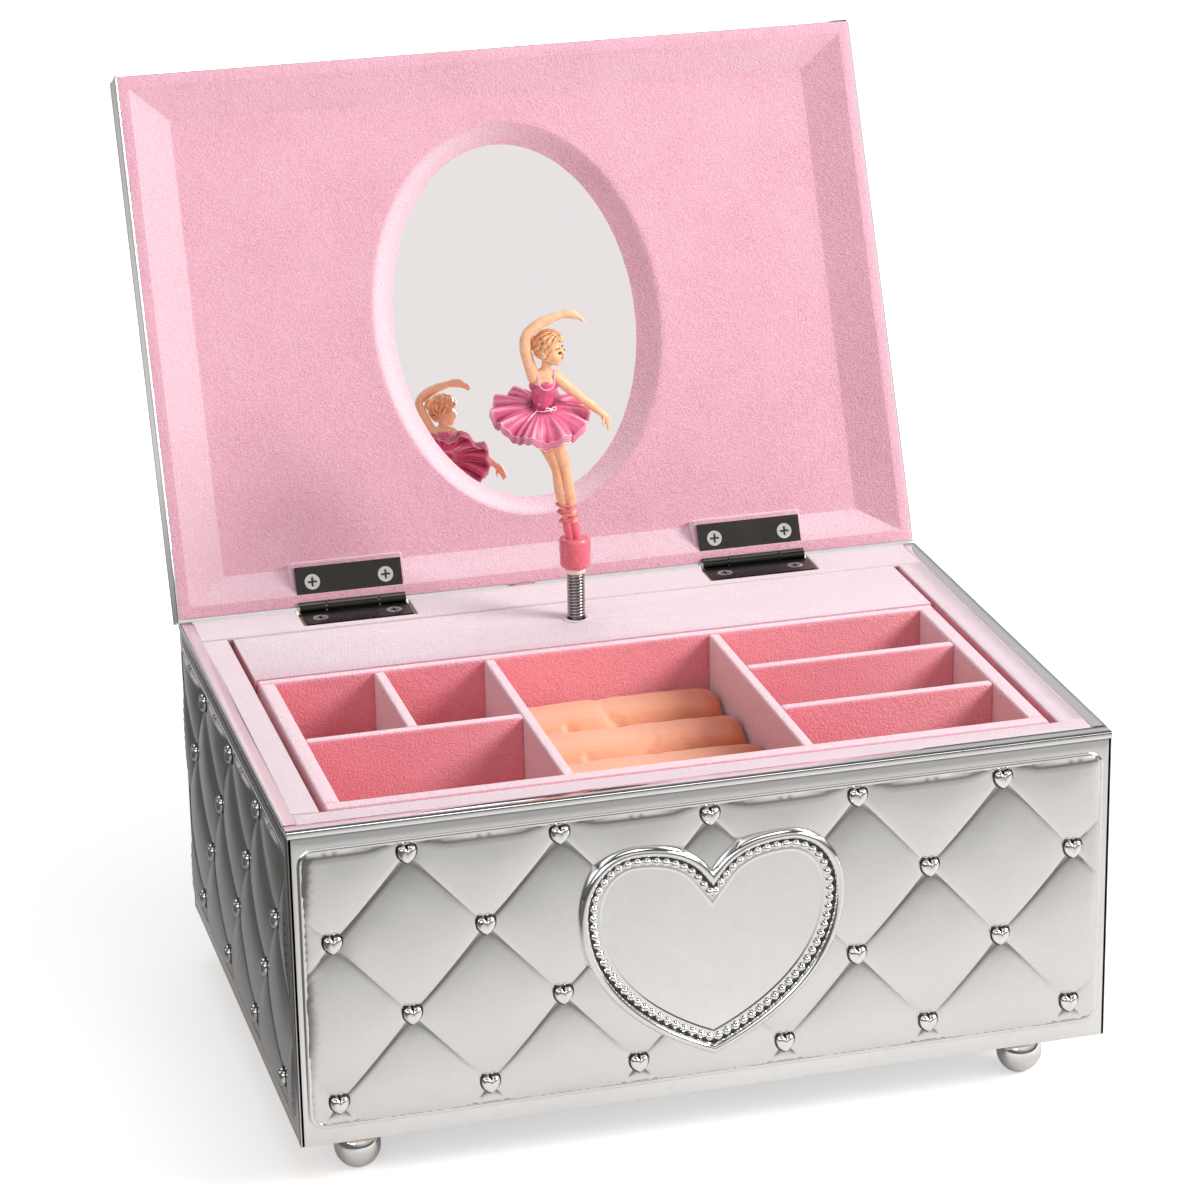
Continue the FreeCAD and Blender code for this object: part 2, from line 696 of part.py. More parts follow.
def movement_screws():
    screws = []
    for x, y in bedplate_screw_places():
        screws.append(joined([upright(2.4, x, y, (0.2, 1.8)), upright(1.2, x, y, (1.7, 6.4))]))
    for x in comb_screw_places():
        screws.append(joined([upright(1.1, x, 90.6, (16.2, 17.0)), upright(0.7, x, 90.6, (12.5, 16.4))]))
    return group(screws)


def spring_barrel():
    """The drum that holds the mainspring, with crown teeth below and spur teeth above."""
    x, y = BARREL_X, SPINDLE_Y
    drum = [(1.6, 19.4), (10.0, 19.4), (10.0, 20.4), (8.2, 20.4), (8.2, 30.0), (1.6, 30.0)]
    body = turned(drum, x, y)
    crown = turned([(9.2, 18.8), (10.0, 18.8), (10.0, 19.5), (9.2, 19.5)], x, y)
    teeth = []
    for n in range(48):
        tooth = block((9.2, 10.0), (-0.16, 0.16), (17.95, 18.9))
        tooth.rotate(vec(0, 0, 0), Z_AXIS, (n + 0.5) * 7.5)
        tooth.translate(vec(x, y, 0))
        teeth.append(tooth)
    spur = prism(placed(gear_outline(36, 0.5, 0, 0.45, 0.58, 0.03), x, y), "z", 29.9, 2.5)
    hollow = turned([(0, 20.2), (7.6, 20.2), (7.6, 29.2), (0, 29.2)], x, y)
    bore = upright(1.5 + RUNNING, x, y, (15, 35))
    return joined([body, crown, spur] + teeth).cut([hollow, bore])


def mainspring():
    """A flat strip coiled inside the barrel, drawn as half turns of growing radius."""
    step, thick, first = 0.46, 0.25, 2.3
    edges = []
    for offset in (0, thick):
        for n in range(11):
            r = first + offset + n * step
            centre = BARREL_X + (step / 2 if n % 2 else -step / 2)
            side = 1 if n % 2 == 0 else -1
            ends = [vec(centre + side * r, SPINDLE_Y, 21.2), vec(centre - side * r, SPINDLE_Y, 21.2)]
            middle = vec(centre, SPINDLE_Y + side * r, 21.2)
            edges.append(Part.Arc(ends[0], middle, ends[1]).toShape())
    for n in (0, 10):
        inner, outer = edges[n], edges[n + 11]
        vertex = 0 if n == 0 else 1
        edges.append(Part.makeLine(inner.Vertexes[vertex].Point, outer.Vertexes[vertex].Point))
    wire = Part.Wire(Part.__sortEdges__(edges))
    return Part.Face(wire).extrude(vec(0, 0, 7.0))


def spindle():
    """The upright shaft that carries the dancer's spring, with the pinion that the barrel drives."""
    x, y = SPINDLE_X, SPINDLE_Y
    first = math.radians(190)
    pinion = prism(placed(gear_outline(18, 0.5, first, 0.45, 0.58, 0.03), x, y), "z", 29.5, 3.4)
    head = upright(1.5, x, y, (64, 73))
    return joined([upright(1.2, x, y, (5.2, 66)), pinion, head])


def music_cylinder():
    """The pinned cylinder with its driving pinion at one end and the governor's wheel at the other."""
    y, z = SPINDLE_Y, CYLINDER_Z
    axle = rod(0.8, (-56.5, y, z), (-21.0, y, z))
    drum = rod(4.5, (-50.4, y, z), (-28.2, y, z))
    first = math.radians(90)
    wheel = prism(placed(gear_outline(40, 0.4, 0, 0.28, 0.42, 0.05), y, z), "x", -52.6, 1.4)
    contact = BARREL_X - CROWN_R
    hub = rod(1.95, (contact - 0.9, y, z), (contact + 0.7, y, z))
    teeth = []
    for n in range(12):
        tooth = block((contact - 0.9, contact + 0.7), (y - 0.16, y + 0.16), (z + 1.5, z + 2.75))
        tooth.rotate(vec(0, y, z), X_AXIS, n * 30)
        teeth.append(tooth)
    return joined([axle, drum, wheel, hub] + teeth + cylinder_pins(first))


def cylinder_pins(first):
    """Pins for the tune: one to four on each of the comb's eighteen tracks."""
    pitch = (COMB_X[1] - COMB_X[0]) / 18
    pins = []
    for track in range(18):
        x = COMB_X[0] + (track + 0.5) * pitch
        for note in range(1 + track * 7 % 4):
            angle = first + math.radians(track * 137.5 + note * 83.0)
            out = (math.cos(angle), math.sin(angle))
            start = (x, SPINDLE_Y + 4.2 * out[0], CYLINDER_Z + 4.2 * out[1])
            end = (x, SPINDLE_Y + 5.0 * out[0], CYLINDER_Z + 5.0 * out[1])
            pins.append(rod(0.22, start, end))
    return pins


def governor():
    """The air brake: a small pinion and a two-bladed fan on one axle."""
    y, z = GOVERNOR_Y, GOVERNOR_Z
    toward = math.atan2(CYLINDER_Z - z, SPINDLE_Y - y)
    gap_first = toward + math.pi / 12 + pinion_phase(toward)
    axle = rod(0.6, (-65.2, y, z), (-50.4, y, z))
    pinion = prism(placed(gear_outline(12, 0.4, gap_first, 0.28, 0.42, 0.05), y, z), "x", -52.9, 2.0)
    hub = rod(1.2, (-61.5, y, z), (-57.0, y, z))
    blade = block((-61.5, -57.0), (y - 3.7, y + 3.7), (z - 0.25, z + 0.25))
    return joined([axle, pinion, hub, blade])


def pinion_phase(toward):
    """How far the governor's pinion is turned so that it meshes with the cylinder's wheel at rest."""
    facing = toward + math.pi
    pitch = 2 * math.pi / 40
    past_tooth = facing - round(facing / pitch) * pitch
    return past_tooth * 40 / 12


def winding_arbor():
    """The shaft that winds the spring, with its ratchet wheel."""
    x, y = BARREL_X, SPINDLE_Y
    teeth = 24
    outline = []
    for n in range(teeth):
        for r, share in ((5.3, 0.0), (6.0, 0.9)):
            angle = 2 * math.pi * (n + share) / teeth
            outline.append((x + r * math.cos(angle), y + r * math.sin(angle)))
    wheel = prism(outline, "z", 7.5, 1.5)
    return joined([upright(1.5, x, y, (-9.0, 39.0)), wheel])


def winding_key():
    x, y = BARREL_X, SPINDLE_Y
    hub = upright(3.0, x, y, (-9.6, -1.6))
    outline = [(-9.0, -5.0), (-10.0, -7.0), (-10.0, -9.5), (-8.6, -11.0), (-5.0, -11.0), (-2.0, -8.5)]
    outline += [(-p, q) for p, q in reversed(outline)]
    outline += [(2.0, -4.0), (-2.0, -4.0)]
    wings = prism([(x + p, q) for p, q in outline], "y", y - 0.9, 1.8)
    return joined([hub, wings]).cut(upright(1.52, x, y, (-9.2, 0)))


def click_pawl():
    """The pawl that lets the ratchet wheel turn one way, on its pin on the bedplate."""
    nose = (CLICK_X - 5.5, CLICK_Y + 1.6)
    side = (0.279, 0.960)
    outline = [(CLICK_X + 1.2 * side[0], CLICK_Y + 1.2 * side[1]), nose]
    outline.append((nose[0] - 0.8 * side[0], nose[1] - 0.8 * side[1]))
    outline.append((CLICK_X - 1.2 * side[0], CLICK_Y - 1.2 * side[1]))
    arm = prism(outline, "z", 7.6, 1.2)
    boss = upright(1.4, CLICK_X, CLICK_Y, (7.2, 9.2))
    return joined([arm, boss]).cut(upright(0.7 + RUNNING, CLICK_X, CLICK_Y, (6, 10)))


# ---- dancer ------------------------------------------------------------------------------
SPRING_Z = (71.2, 82.0)
SPRING_TURNS = 20


def dancer_spring():
    """The close-wound spring, as a tube with a rounded groove between turns."""
    x, y = SPINDLE_X, SPINDLE_Y
    pitch = (SPRING_Z[1] - SPRING_Z[0]) / SPRING_TURNS
    profile = [(1.58, SPRING_Z[0])]
    for n in range(SPRING_TURNS):
        z = SPRING_Z[0] + n * pitch
        profile += [(1.95, z), (2.1, z + pitch * 0.3), (2.1, z + pitch * 0.7)]
    profile += [(1.95, SPRING_Z[1]), (1.58, SPRING_Z[1])]
    return turned(profile, x, y)


def spring_ferrule():
    profile = [(0, 79), (1.5, 79), (1.5, 82.0), (2.3, 82.0)]
    profile += [(2.3, 83.4), (1.0, 83.4), (1.0, 87.0), (0, 87.0)]
    return turned(profile, SPINDLE_X, SPINDLE_Y)


def dancer_collar():
    """The plastic cup that the dancer stands in, turning on the ferrule's peg."""
    x, y = SPINDLE_X, SPINDLE_Y
    cup = turned([(0, 83.5), (2.9, 83.5), (3.5, 84.2), (3.6, 90.0), (3.1, 90.6), (0, 90.6)], x, y)
    return cup.cut(upright(1.0 + RUNNING, x, y, (80, 87.2)))


def limb(points):
    """A chain of tapering round lengths with ball joints, through (x, y, z, radius) points."""
    shapes = [Part.makeSphere(r, vec(x, y, z)) for x, y, z, r in points]
    for a, b in zip(points, points[1:]):
        start, end = vec(*a[:3]), vec(*b[:3])
        shapes.append(Part.makeCone(a[3] * 0.96, b[3] * 0.95, (end - start).Length, start, end - start))
    return shapes


BODY_Y = 98.0
WAIST_Z = 122.6
NECK_Z = 129.9


def body_block(z):
    """A block round the dancer between two heights."""
    return block((-40, 40), (60, 130), z)


def dancer_legs():
    """Two legs on tiptoe, and the hips, up to the waist."""
    left = [(-2.4, 101.4, 91.4, 0.8), (-3.6, 100.8, 96.4, 1.0)]
    left += [(-5.7, 99.2, 107.7, 1.6), (-9.0, BODY_Y, 115.8, 2.1)]
    right = [(-1.4, 101.4, 91.4, 0.8), (-2.4, 100.6, 96.4, 1.0)]
    right += [(-3.9, 98.8, 107.8, 1.6), (-7.0, BODY_Y, 115.8, 2.1)]
    hips = [(-8.2, BODY_Y, 116.8, 3.0), (-9.4, BODY_Y, 121.7, 2.2)]
    legs = joined(limb(left) + limb(right) + limb(hips))
    return legs.common(body_block((90.6, WAIST_Z)))


def dancer_bodice():
    torso = limb([(-9.4, BODY_Y, 121.7, 2.2), (-8.8, BODY_Y, 127.7, 3.0), (-8.4, BODY_Y, 130.8, 2.2)])
    return joined(torso).common(body_block((WAIST_Z, NECK_Z)))


def dancer_head_arms():
    """Head, neck and shoulders, one arm curved overhead and one held out low."""
    neck = [(-8.3, BODY_Y, 130.5, 1.9), (-8.1, BODY_Y, 132.8, 1.1), (-7.2, 97.8, 136.7, 3.3)]
    raised = [(-10.9, BODY_Y, 130.9, 1.25), (-12.9, BODY_Y, 140.6, 1.1)]
    raised += [(-4.5, BODY_Y, 144.7, 0.9), (0.7, BODY_Y, 142.3, 0.8)]
    low = [(-5.6, BODY_Y, 130.3, 1.3), (-0.9, 96.0, 125.7, 1.05), (5.0, 95.0, 120.2, 0.8)]
    shoulders = [(-10.9, BODY_Y, 130.8, 1.3), (-5.6, BODY_Y, 130.4, 1.3)]
    whole = joined(limb(neck) + limb(raised) + limb(low) + limb(shoulders))
    return whole.cut([joined(dancer_hair_shapes()), dancer_bodice()])


def dancer_hair_shapes():
    cap = Part.makeSphere(3.7, vec(-7.4, BODY_Y + 0.7, 137.3))
    bun = Part.makeSphere(1.6, vec(-9.0, BODY_Y + 1.5, 140.9))
    return [cap, bun]


def dancer_hair():
    """A cap of hair with a bun."""
    hair = joined(dancer_hair_shapes())
    face = Part.makeSphere(3.4, vec(-6.4, BODY_Y - 1.9, 136.2))
    return hair.cut(face)


TUTU_TILT = 24.0
TUTU_CENTRE = (-9.5, BODY_Y, 123.0)


def tutu_ring(half_x, half_y, up):
    """An ellipse round the waist, in the skirt's own tilted plane, raised at the back."""
    wire = Part.Wire(Part.Ellipse(vec(0, 0, 0), half_x, half_y).toShape())
    wire.translate(vec(0, 0, up))
    wire.rotate(vec(0, 0, 0), X_AXIS, TUTU_TILT)
    wire.translate(vec(*TUTU_CENTRE))
    return wire


def dancer_tutu():
    """The spread skirt, open below, with a hole for the waist."""
    outer = [(12.2, 9.6, -2.4), (11.4, 8.9, -0.8), (7.5, 6.2, 0.5), (3.2, 3.1, 1.2)]
    inner = [(11.4, 8.9, -2.5), (9.0, 7.2, -2.0), (4.6, 4.0, -0.9)]
    bell = Part.makeLoft([tutu_ring(*ring) for ring in outer], True, False)
    hollow = Part.makeLoft([tutu_ring(*ring) for ring in inner], True, False)
    return bell.cut([hollow, dancer_legs(), dancer_bodice()])


# ---- every part ---------------------------------------------------------------------------
def box_parts():
    save("floor_board", floor_board())
    save("wall_front", wall_front())
    save("wall_left", wall_left())
    save("wall_right", mirrored_x(wall_left()))
    save("wall_back", wall_back())
    save("partition", partition())
    save("platform_cleat", platform_cleat())
    save("platform_board", platform_layer(PLATFORM_Z, PLATFORM_Z + PLATFORM_BOARD))
    save("platform_velvet", platform_layer(PLATFORM_Z + PLATFORM_BOARD, PLATFORM_Z + PLATFORM_BOARD + 0.6))
    save("tray_ledges", tray_ledges())
    save("shell_front", shell_front())
    save("shell_left", shell_left())
    save("shell_right", mirrored_x(shell_left()))
    save("shell_back", shell_back())
    save("box_studs", box_studs())
    save("heart_plaque", heart_plaque())
    save("rim_velvet", rim_velvet())
    save("wall_lining", wall_lining())
    save("floor_lining", floor_lining())
    save("base_felt", base_felt())
    save("ball_feet", ball_feet())
    save("foot_screws", foot_screws())


def hinge_and_lid_parts():
    save("hinge_leaves_box", hinge_leaves_box())
    save("hinge_pins", hinge_pins())
    save("hinge_screws_box", hinge_screws(HEIGHT, 1, 7.0))
    save("hinge_leaves_lid", lid_opened(hinge_leaves_lid()))
    save("hinge_screws_lid", lid_opened(hinge_screws(HINGE_Z + 0.1, -1, 7.0)))
    save("lid_shell", lid_opened(lid_shell()))
    save("lid_studs", lid_opened(lid_studs()))
    save("lid_rails", lid_opened(lid_rails()))
    save("lid_panel", lid_opened(lid_panel()))
    save("mirror", lid_opened(mirror()))


def tray_parts():
    save("tray_floor", tray_floor())
    save("tray_wall_front", tray_wall_front())
    save("tray_wall_back", tray_wall_back())
    save("tray_walls_side", tray_walls_side())
    save("tray_divider_left", tray_divider(DIVIDER_LEFT_X))
    save("tray_divider_right", tray_divider(DIVIDER_RIGHT_X))
    save("tray_cross_dividers", tray_cross_dividers())
    save("ring_rolls", ring_rolls())


def movement_parts():
    save("movement_bedplate", movement_bedplate())
    save("movement_bridge", movement_bridge())
    save("movement_screws", movement_screws())
    save("comb", comb())
    save("spring_barrel", spring_barrel())
    save("mainspring", mainspring())
    save("spindle", spindle())
    save("music_cylinder", music_cylinder())
    save("governor", governor())
    save("winding_arbor", winding_arbor())
    save("winding_key", winding_key())
    save("click_pawl", click_pawl())


def dancer_parts():
    save("dancer_spring", dancer_spring())
    save("spring_ferrule", spring_ferrule())
    save("dancer_collar", dancer_collar())
    save("dancer_legs", dancer_legs())
    save("dancer_bodice", dancer_bodice())
    save("dancer_head_arms", dancer_head_arms())
    save("dancer_hair", dancer_hair())
    save("dancer_tutu", dancer_tutu())


box_parts()
hinge_and_lid_parts()
tray_parts()
movement_parts()
dancer_parts()
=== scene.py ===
"""Looks of the ballerina jewellery box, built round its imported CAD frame.

Sizes are millimetres from the middle of the box's front edge at its base:
x to the right, y to the back and z up. place() turns them into metres.
"""
import json
import math

import bmesh
import bpy
import numpy as np
from mathutils import Matrix, Vector, noise


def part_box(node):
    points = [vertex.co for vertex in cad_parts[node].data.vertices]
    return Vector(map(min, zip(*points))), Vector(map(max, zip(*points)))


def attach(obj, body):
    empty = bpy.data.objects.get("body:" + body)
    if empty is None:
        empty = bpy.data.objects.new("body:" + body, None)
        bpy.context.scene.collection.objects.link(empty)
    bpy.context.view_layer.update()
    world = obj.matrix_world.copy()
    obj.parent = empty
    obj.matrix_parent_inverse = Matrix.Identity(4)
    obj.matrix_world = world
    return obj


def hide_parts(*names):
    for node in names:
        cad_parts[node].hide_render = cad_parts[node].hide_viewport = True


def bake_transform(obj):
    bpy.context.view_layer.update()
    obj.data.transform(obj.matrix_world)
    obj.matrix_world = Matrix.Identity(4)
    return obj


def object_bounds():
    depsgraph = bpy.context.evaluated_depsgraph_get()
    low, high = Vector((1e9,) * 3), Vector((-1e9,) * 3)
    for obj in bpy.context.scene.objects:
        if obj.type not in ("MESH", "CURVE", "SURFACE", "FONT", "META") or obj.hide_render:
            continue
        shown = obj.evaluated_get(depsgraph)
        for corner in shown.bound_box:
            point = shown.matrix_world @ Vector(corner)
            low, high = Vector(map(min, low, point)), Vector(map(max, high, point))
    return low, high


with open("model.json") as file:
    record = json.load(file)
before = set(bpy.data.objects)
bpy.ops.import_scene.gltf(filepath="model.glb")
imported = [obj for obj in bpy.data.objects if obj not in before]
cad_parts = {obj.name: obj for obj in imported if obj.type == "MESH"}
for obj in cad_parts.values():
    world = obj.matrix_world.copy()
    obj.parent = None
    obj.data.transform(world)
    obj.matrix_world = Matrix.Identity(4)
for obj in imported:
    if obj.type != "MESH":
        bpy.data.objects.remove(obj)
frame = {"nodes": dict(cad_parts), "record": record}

CAD_BOX = [list(corner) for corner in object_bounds()]
MM = 0.001
SHELL_LOW, SHELL_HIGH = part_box("shell_front")
FRONT, BASE = SHELL_LOW.y, SHELL_LOW.z
HALF = SHELL_HIGH.x / MM
DEPTH = (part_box("shell_back")[1].y - FRONT) / MM
HEIGHT = (SHELL_HIGH.z - BASE) / MM
HINGE_Y, HINGE_Z = DEPTH, HEIGHT + 0.3
LID_THICK = 10.0
LID_OPEN = math.radians(113.5)
HINGE_X = (-48.5, 48.5)
PITCH_X, PITCH_Y, PITCH_Z = 32.2, 31.5, 18.17
STUD_LOW = 9.0


def place(point):
    """A point in the script's millimetres, as metres in the row frame."""
    x, y, z = point
    return Vector((x * MM, FRONT + y * MM, BASE + z * MM))


def lid_opened(point):
    """A point on the shut lid, swung to where the lid rests open."""
    x, y, z = point
    a, b = y - HINGE_Y, z - HINGE_Z
    cos, sin = math.cos(-LID_OPEN), math.sin(-LID_OPEN)
    return (x, HINGE_Y + a * cos - b * sin, HINGE_Z + a * sin + b * cos)


def turns(count):
    """The angles of points evenly round a circle."""
    return [2 * math.pi * n / count for n in range(count)]


def smoothstep(low, high, value):
    t = min(max((value - low) / (high - low), 0.0), 1.0)
    return t * t * (3 - 2 * t)


# ---- materials ---------------------------------------------------------------------------
def linked(tree, socket, value):
    """Feeds a socket from another one, or sets it to a number or colour."""
    if isinstance(value, bpy.types.NodeSocket):
        tree.links.new(value, socket)
    else:
        socket.default_value = (*value, 1) if isinstance(value, tuple) else value


def mixed(tree, factor, first, second, blend="MIX"):
    """Two colours, mixed by a factor."""
    mix = tree.nodes.new("ShaderNodeMix")
    mix.data_type, mix.blend_type = "RGBA", blend
    linked(tree, mix.inputs["Factor"], factor)
    linked(tree, mix.inputs[6], first)
    linked(tree, mix.inputs[7], second)
    return mix.outputs[2]


def product(tree, first, second):
    """Two factors, multiplied."""
    node = tree.nodes.new("ShaderNodeMath")
    node.operation = "MULTIPLY"
    linked(tree, node.inputs[0], first)
    linked(tree, node.inputs[1], second)
    return node.outputs[0]


def split_axes(tree, coords):
    split = tree.nodes.new("ShaderNodeSeparateXYZ")
    tree.links.new(coords, split.inputs[0])
    return split.outputs


def noise_node(tree, coords, scale, detail, stretch=(1, 1, 1)):
    mapping = tree.nodes.new("ShaderNodeMapping")
    mapping.inputs["Scale"].default_value = stretch
    tree.links.new(coords, mapping.inputs["Vector"])
    node = tree.nodes.new("ShaderNodeTexNoise")
    node.inputs["Scale"].default_value = scale
    node.inputs["Detail"].default_value = detail
    node.inputs["Roughness"].default_value = 0.55
    tree.links.new(mapping.outputs["Vector"], node.inputs["Vector"])
    return node.outputs["Fac"]


def remap(tree, value, low, high, to_low=0.0, to_high=1.0):
    """A value between low and high, carried over to another range and held inside it."""
    node = tree.nodes.new("ShaderNodeMapRange")
    tree.links.new(value, node.inputs["Value"])
    sockets = ("From Min", "From Max", "To Min", "To Max")
    for socket, number in zip(sockets, (low, high, to_low, to_high)):
        node.inputs[socket].default_value = number
    return node.outputs["Result"]


def bumped(tree, height, distance, strength, normal=None):
    node = tree.nodes.new("ShaderNodeBump")
    node.inputs["Distance"].default_value = distance
    node.inputs["Strength"].default_value = strength
    tree.links.new(height, node.inputs["Height"])
    if normal:
        tree.links.new(normal, node.inputs["Normal"])
    return node.outputs["Normal"]


SHADER_SOCKETS = {
    "metal": "Metallic", "sheen": "Sheen Weight", "sheen_rough": "Sheen Roughness",
    "coat": "Coat Weight", "subsurface": "Subsurface Weight", "specular": "Specular IOR Level",
}
BROAD = (0.3, 0.7)


def material(name, light, dark, rough, grain, patch=60.0, **more):
    """A procedural surface.

    light and dark are its colours, mixed by fine grain. rough is its range of roughness over
    broad patches, and grain and patch are the sizes of the two noises, in noise units per metre.
    more may hold a key of SHADER_SOCKETS, sheen_tint, bump (depth in metres), bump_strength,
    stretch (of the grain), patch_mix and patch_gain (how much the patches lighten), ripple (size
    and depth of a slow wave), rim (colours of a painted sheen: pile painted paler where it is seen
    from the side), worn (colours of painted shade in creases and of a painted highlight
    on edges), and shade (axis, start and full place in metres, and the tint of a painted shade
    that deepens along that axis).
    """
    made = bpy.data.materials.new(name)
    made.use_nodes = True
    tree = made.node_tree
    shader = tree.nodes["Principled BSDF"]
    coords = tree.nodes.new("ShaderNodeTexCoord").outputs["Object"]
    fine = noise_node(tree, coords, grain, 2.0, more.get("stretch", (1, 1, 1)))
    broad = noise_node(tree, coords, patch, 3.0)
    grains = remap(tree, fine, 0.25, 0.75)
    pale = tuple(min(c * more.get("patch_gain", 1.06), 1.0) for c in light)
    spread = product(tree, remap(tree, broad, *BROAD), more.get("patch_mix", 0.35))
    colour = mixed(tree, spread, mixed(tree, grains, dark, light), pale)
    # painted sheen: pile painted paler where it is seen from the side
    if "rim" in more:
        colour = add_painted_sheen(tree, colour, grains, more["rim"])
    # painted shade in creases and a painted highlight on edges
    if "worn" in more:
        colour = add_painted_shading(tree, colour, more["worn"])
    # painted shade: the colour darkens by a tint along one axis
    if "shade" in more:
        axis, start, full, tint = more["shade"]
        share = remap(tree, split_axes(tree, coords)[axis], start, full)
        colour = mixed(tree, share, colour, tint, "MULTIPLY")
    tree.links.new(colour, shader.inputs["Base Color"])
    tree.links.new(remap(tree, broad, *BROAD, *rough), shader.inputs["Roughness"])
    normal = bumped(tree, fine, more.get("bump", 0.0001), more.get("bump_strength", 0.4))
    if "ripple" in more:
        size, depth = more["ripple"]
        normal = bumped(tree, noise_node(tree, coords, size, 2.0), depth, 0.5, normal)
    tree.links.new(normal, shader.inputs["Normal"])
    for key, socket in SHADER_SOCKETS.items():
        if key in more:
            shader.inputs[socket].default_value = more[key]
    if "sheen_tint" in more:
        shader.inputs["Sheen Tint"].default_value = (*more["sheen_tint"], 1)
    if "subsurface" in more:
        shader.inputs["Subsurface Scale"].default_value = 0.001
    return made


def add_painted_sheen(tree, colour, grains, rim):
    """A painted sheen of pile: the colour is painted paler where the surface is seen from the side."""
    facing = tree.nodes.new("ShaderNodeLayerWeight").outputs["Facing"]
    light, dark = rim
    return mixed(tree, remap(tree, facing, 0.04, 0.40), colour, mixed(tree, grains, dark, light))


def add_painted_shading(tree, colour, worn):
    """Painted shade darkens creases and a painted highlight brightens edges, by how far the surface bends."""
    bend = tree.nodes.new("ShaderNodeNewGeometry").outputs["Pointiness"]
    crease, edge = worn
    colour = mixed(tree, remap(tree, bend, 0.47, 0.497, 1.0, 0.0), colour, crease)
    return mixed(tree, remap(tree, bend, 0.51, 0.56), colour, edge)


# Options that several surfaces share: bare metal, the pile of velvet and of the tray's flock.
METAL = {"metal": 1.0, "bump": 0.00003, "bump_strength": 0.3}
PILE = {"bump": 0.0005, "bump_strength": 0.7, "sheen": 0.8, "sheen_rough": 0.35, "ripple": (450, 0.0003)}

QUILT = material("quilt_silver", (0.80, 0.79, 0.775), (0.755, 0.745, 0.73), (0.19, 0.26), 900, 25,
                 metal=1.0, bump=0.00002, bump_strength=0.25, ripple=(160, 0.00006))
POLISH = material("polished_plate", (0.86, 0.85, 0.84), (0.81, 0.80, 0.79), (0.06, 0.11), 600, 20,
                  metal=1.0, bump=0.00001, bump_strength=0.15, ripple=(90, 0.00005))
# Bright plate of the studs and beads, with painted shade in its creases and a painted highlight on its edges.
CHROME = material("bright_silver", (0.90, 0.89, 0.88), (0.80, 0.79, 0.78), (0.04, 0.08), 800, 60,
                  metal=1.0, bump=0.00002, bump_strength=0.15,
                  worn=((0.035, 0.034, 0.033), (0.93, 0.92, 0.91)))
# Dark plate that paints shade round the studs' feet and between the heart's beads.
RECESS_SHADE = material("dark_recess_plate", (0.10, 0.097, 0.093), (0.03, 0.029, 0.028), (0.22, 0.36), 1400, 120,
                   **METAL)
VELVET = material("pink_velvet_pile", (0.76, 0.445, 0.525), (0.58, 0.265, 0.35), (0.85, 1.0), 2300, 55,
                  sheen_tint=(1.0, 0.95, 0.97), specular=0.15, patch_gain=1.04,
                  # rim: a painted sheen, paler where the pile is seen from the side
                  rim=((0.81, 0.68, 0.73), (0.72, 0.55, 0.61)), **PILE)
TRAY_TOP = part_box("tray_wall_front")[1].z
TRAY_PILE = material("tray_flock_pile", (0.88, 0.44, 0.52), (0.73, 0.27, 0.35), (0.85, 1.0), 2300, 55,
                     sheen_tint=(1.0, 0.92, 0.94), specular=0.12,
                     # painted shade: the flock darkens below the tops of the tray's walls, deeper in the
                     # compartments
                     shade=("Z", TRAY_TOP - 0.0003, TRAY_TOP - 0.0011, (1.0, 0.72, 0.70)),
                     # rim: a painted sheen, paler where the flock is seen from the side
                     rim=((0.92, 0.72, 0.78), (0.84, 0.58, 0.65)), **PILE)
FLOCK = material("rose_flock_pile", (0.82, 0.29, 0.35), (0.68, 0.18, 0.235), (0.85, 1.0), 2200, 50,
                 bump=0.0005, bump_strength=0.6, sheen=0.5, sheen_rough=0.45, sheen_tint=(1.0, 0.74, 0.80),
                 specular=0.12, ripple=(400, 0.0003))
SATIN = material("peach_satin_weave", (0.81, 0.39, 0.235), (0.74, 0.315, 0.175), (0.42, 0.55), 1900, 60,
                 stretch=(0.25, 1, 1), bump=0.00008, bump_strength=0.3, sheen=0.35, sheen_rough=0.4,
                 sheen_tint=(1.0, 0.86, 0.74), specular=0.35, ripple=(120, 0.0002),
                 # rim: a painted sheen, paler where the satin is seen from the side
                 rim=((0.83, 0.46, 0.32), (0.79, 0.41, 0.27)),
                 # painted shadow: the satin darkens towards the rolls' right ends, where the divider shades
                 # them
                 shade=("X", -0.004, 0.021, (0.64, 0.34, 0.26)))
MIRROR = material("mirror_silvering", (0.94, 0.91, 0.905), (0.93, 0.90, 0.895), (0.012, 0.03), 40, 12,
                  metal=1.0, bump=0.000002, bump_strength=0.02)
GUNMETAL = material("hinge_gunmetal", (0.062, 0.058, 0.054), (0.036, 0.034, 0.032), (0.2, 0.3), 1200, 90,
                    stretch=(1, 6, 1), metal=1.0, bump=0.00004, bump_strength=0.3)
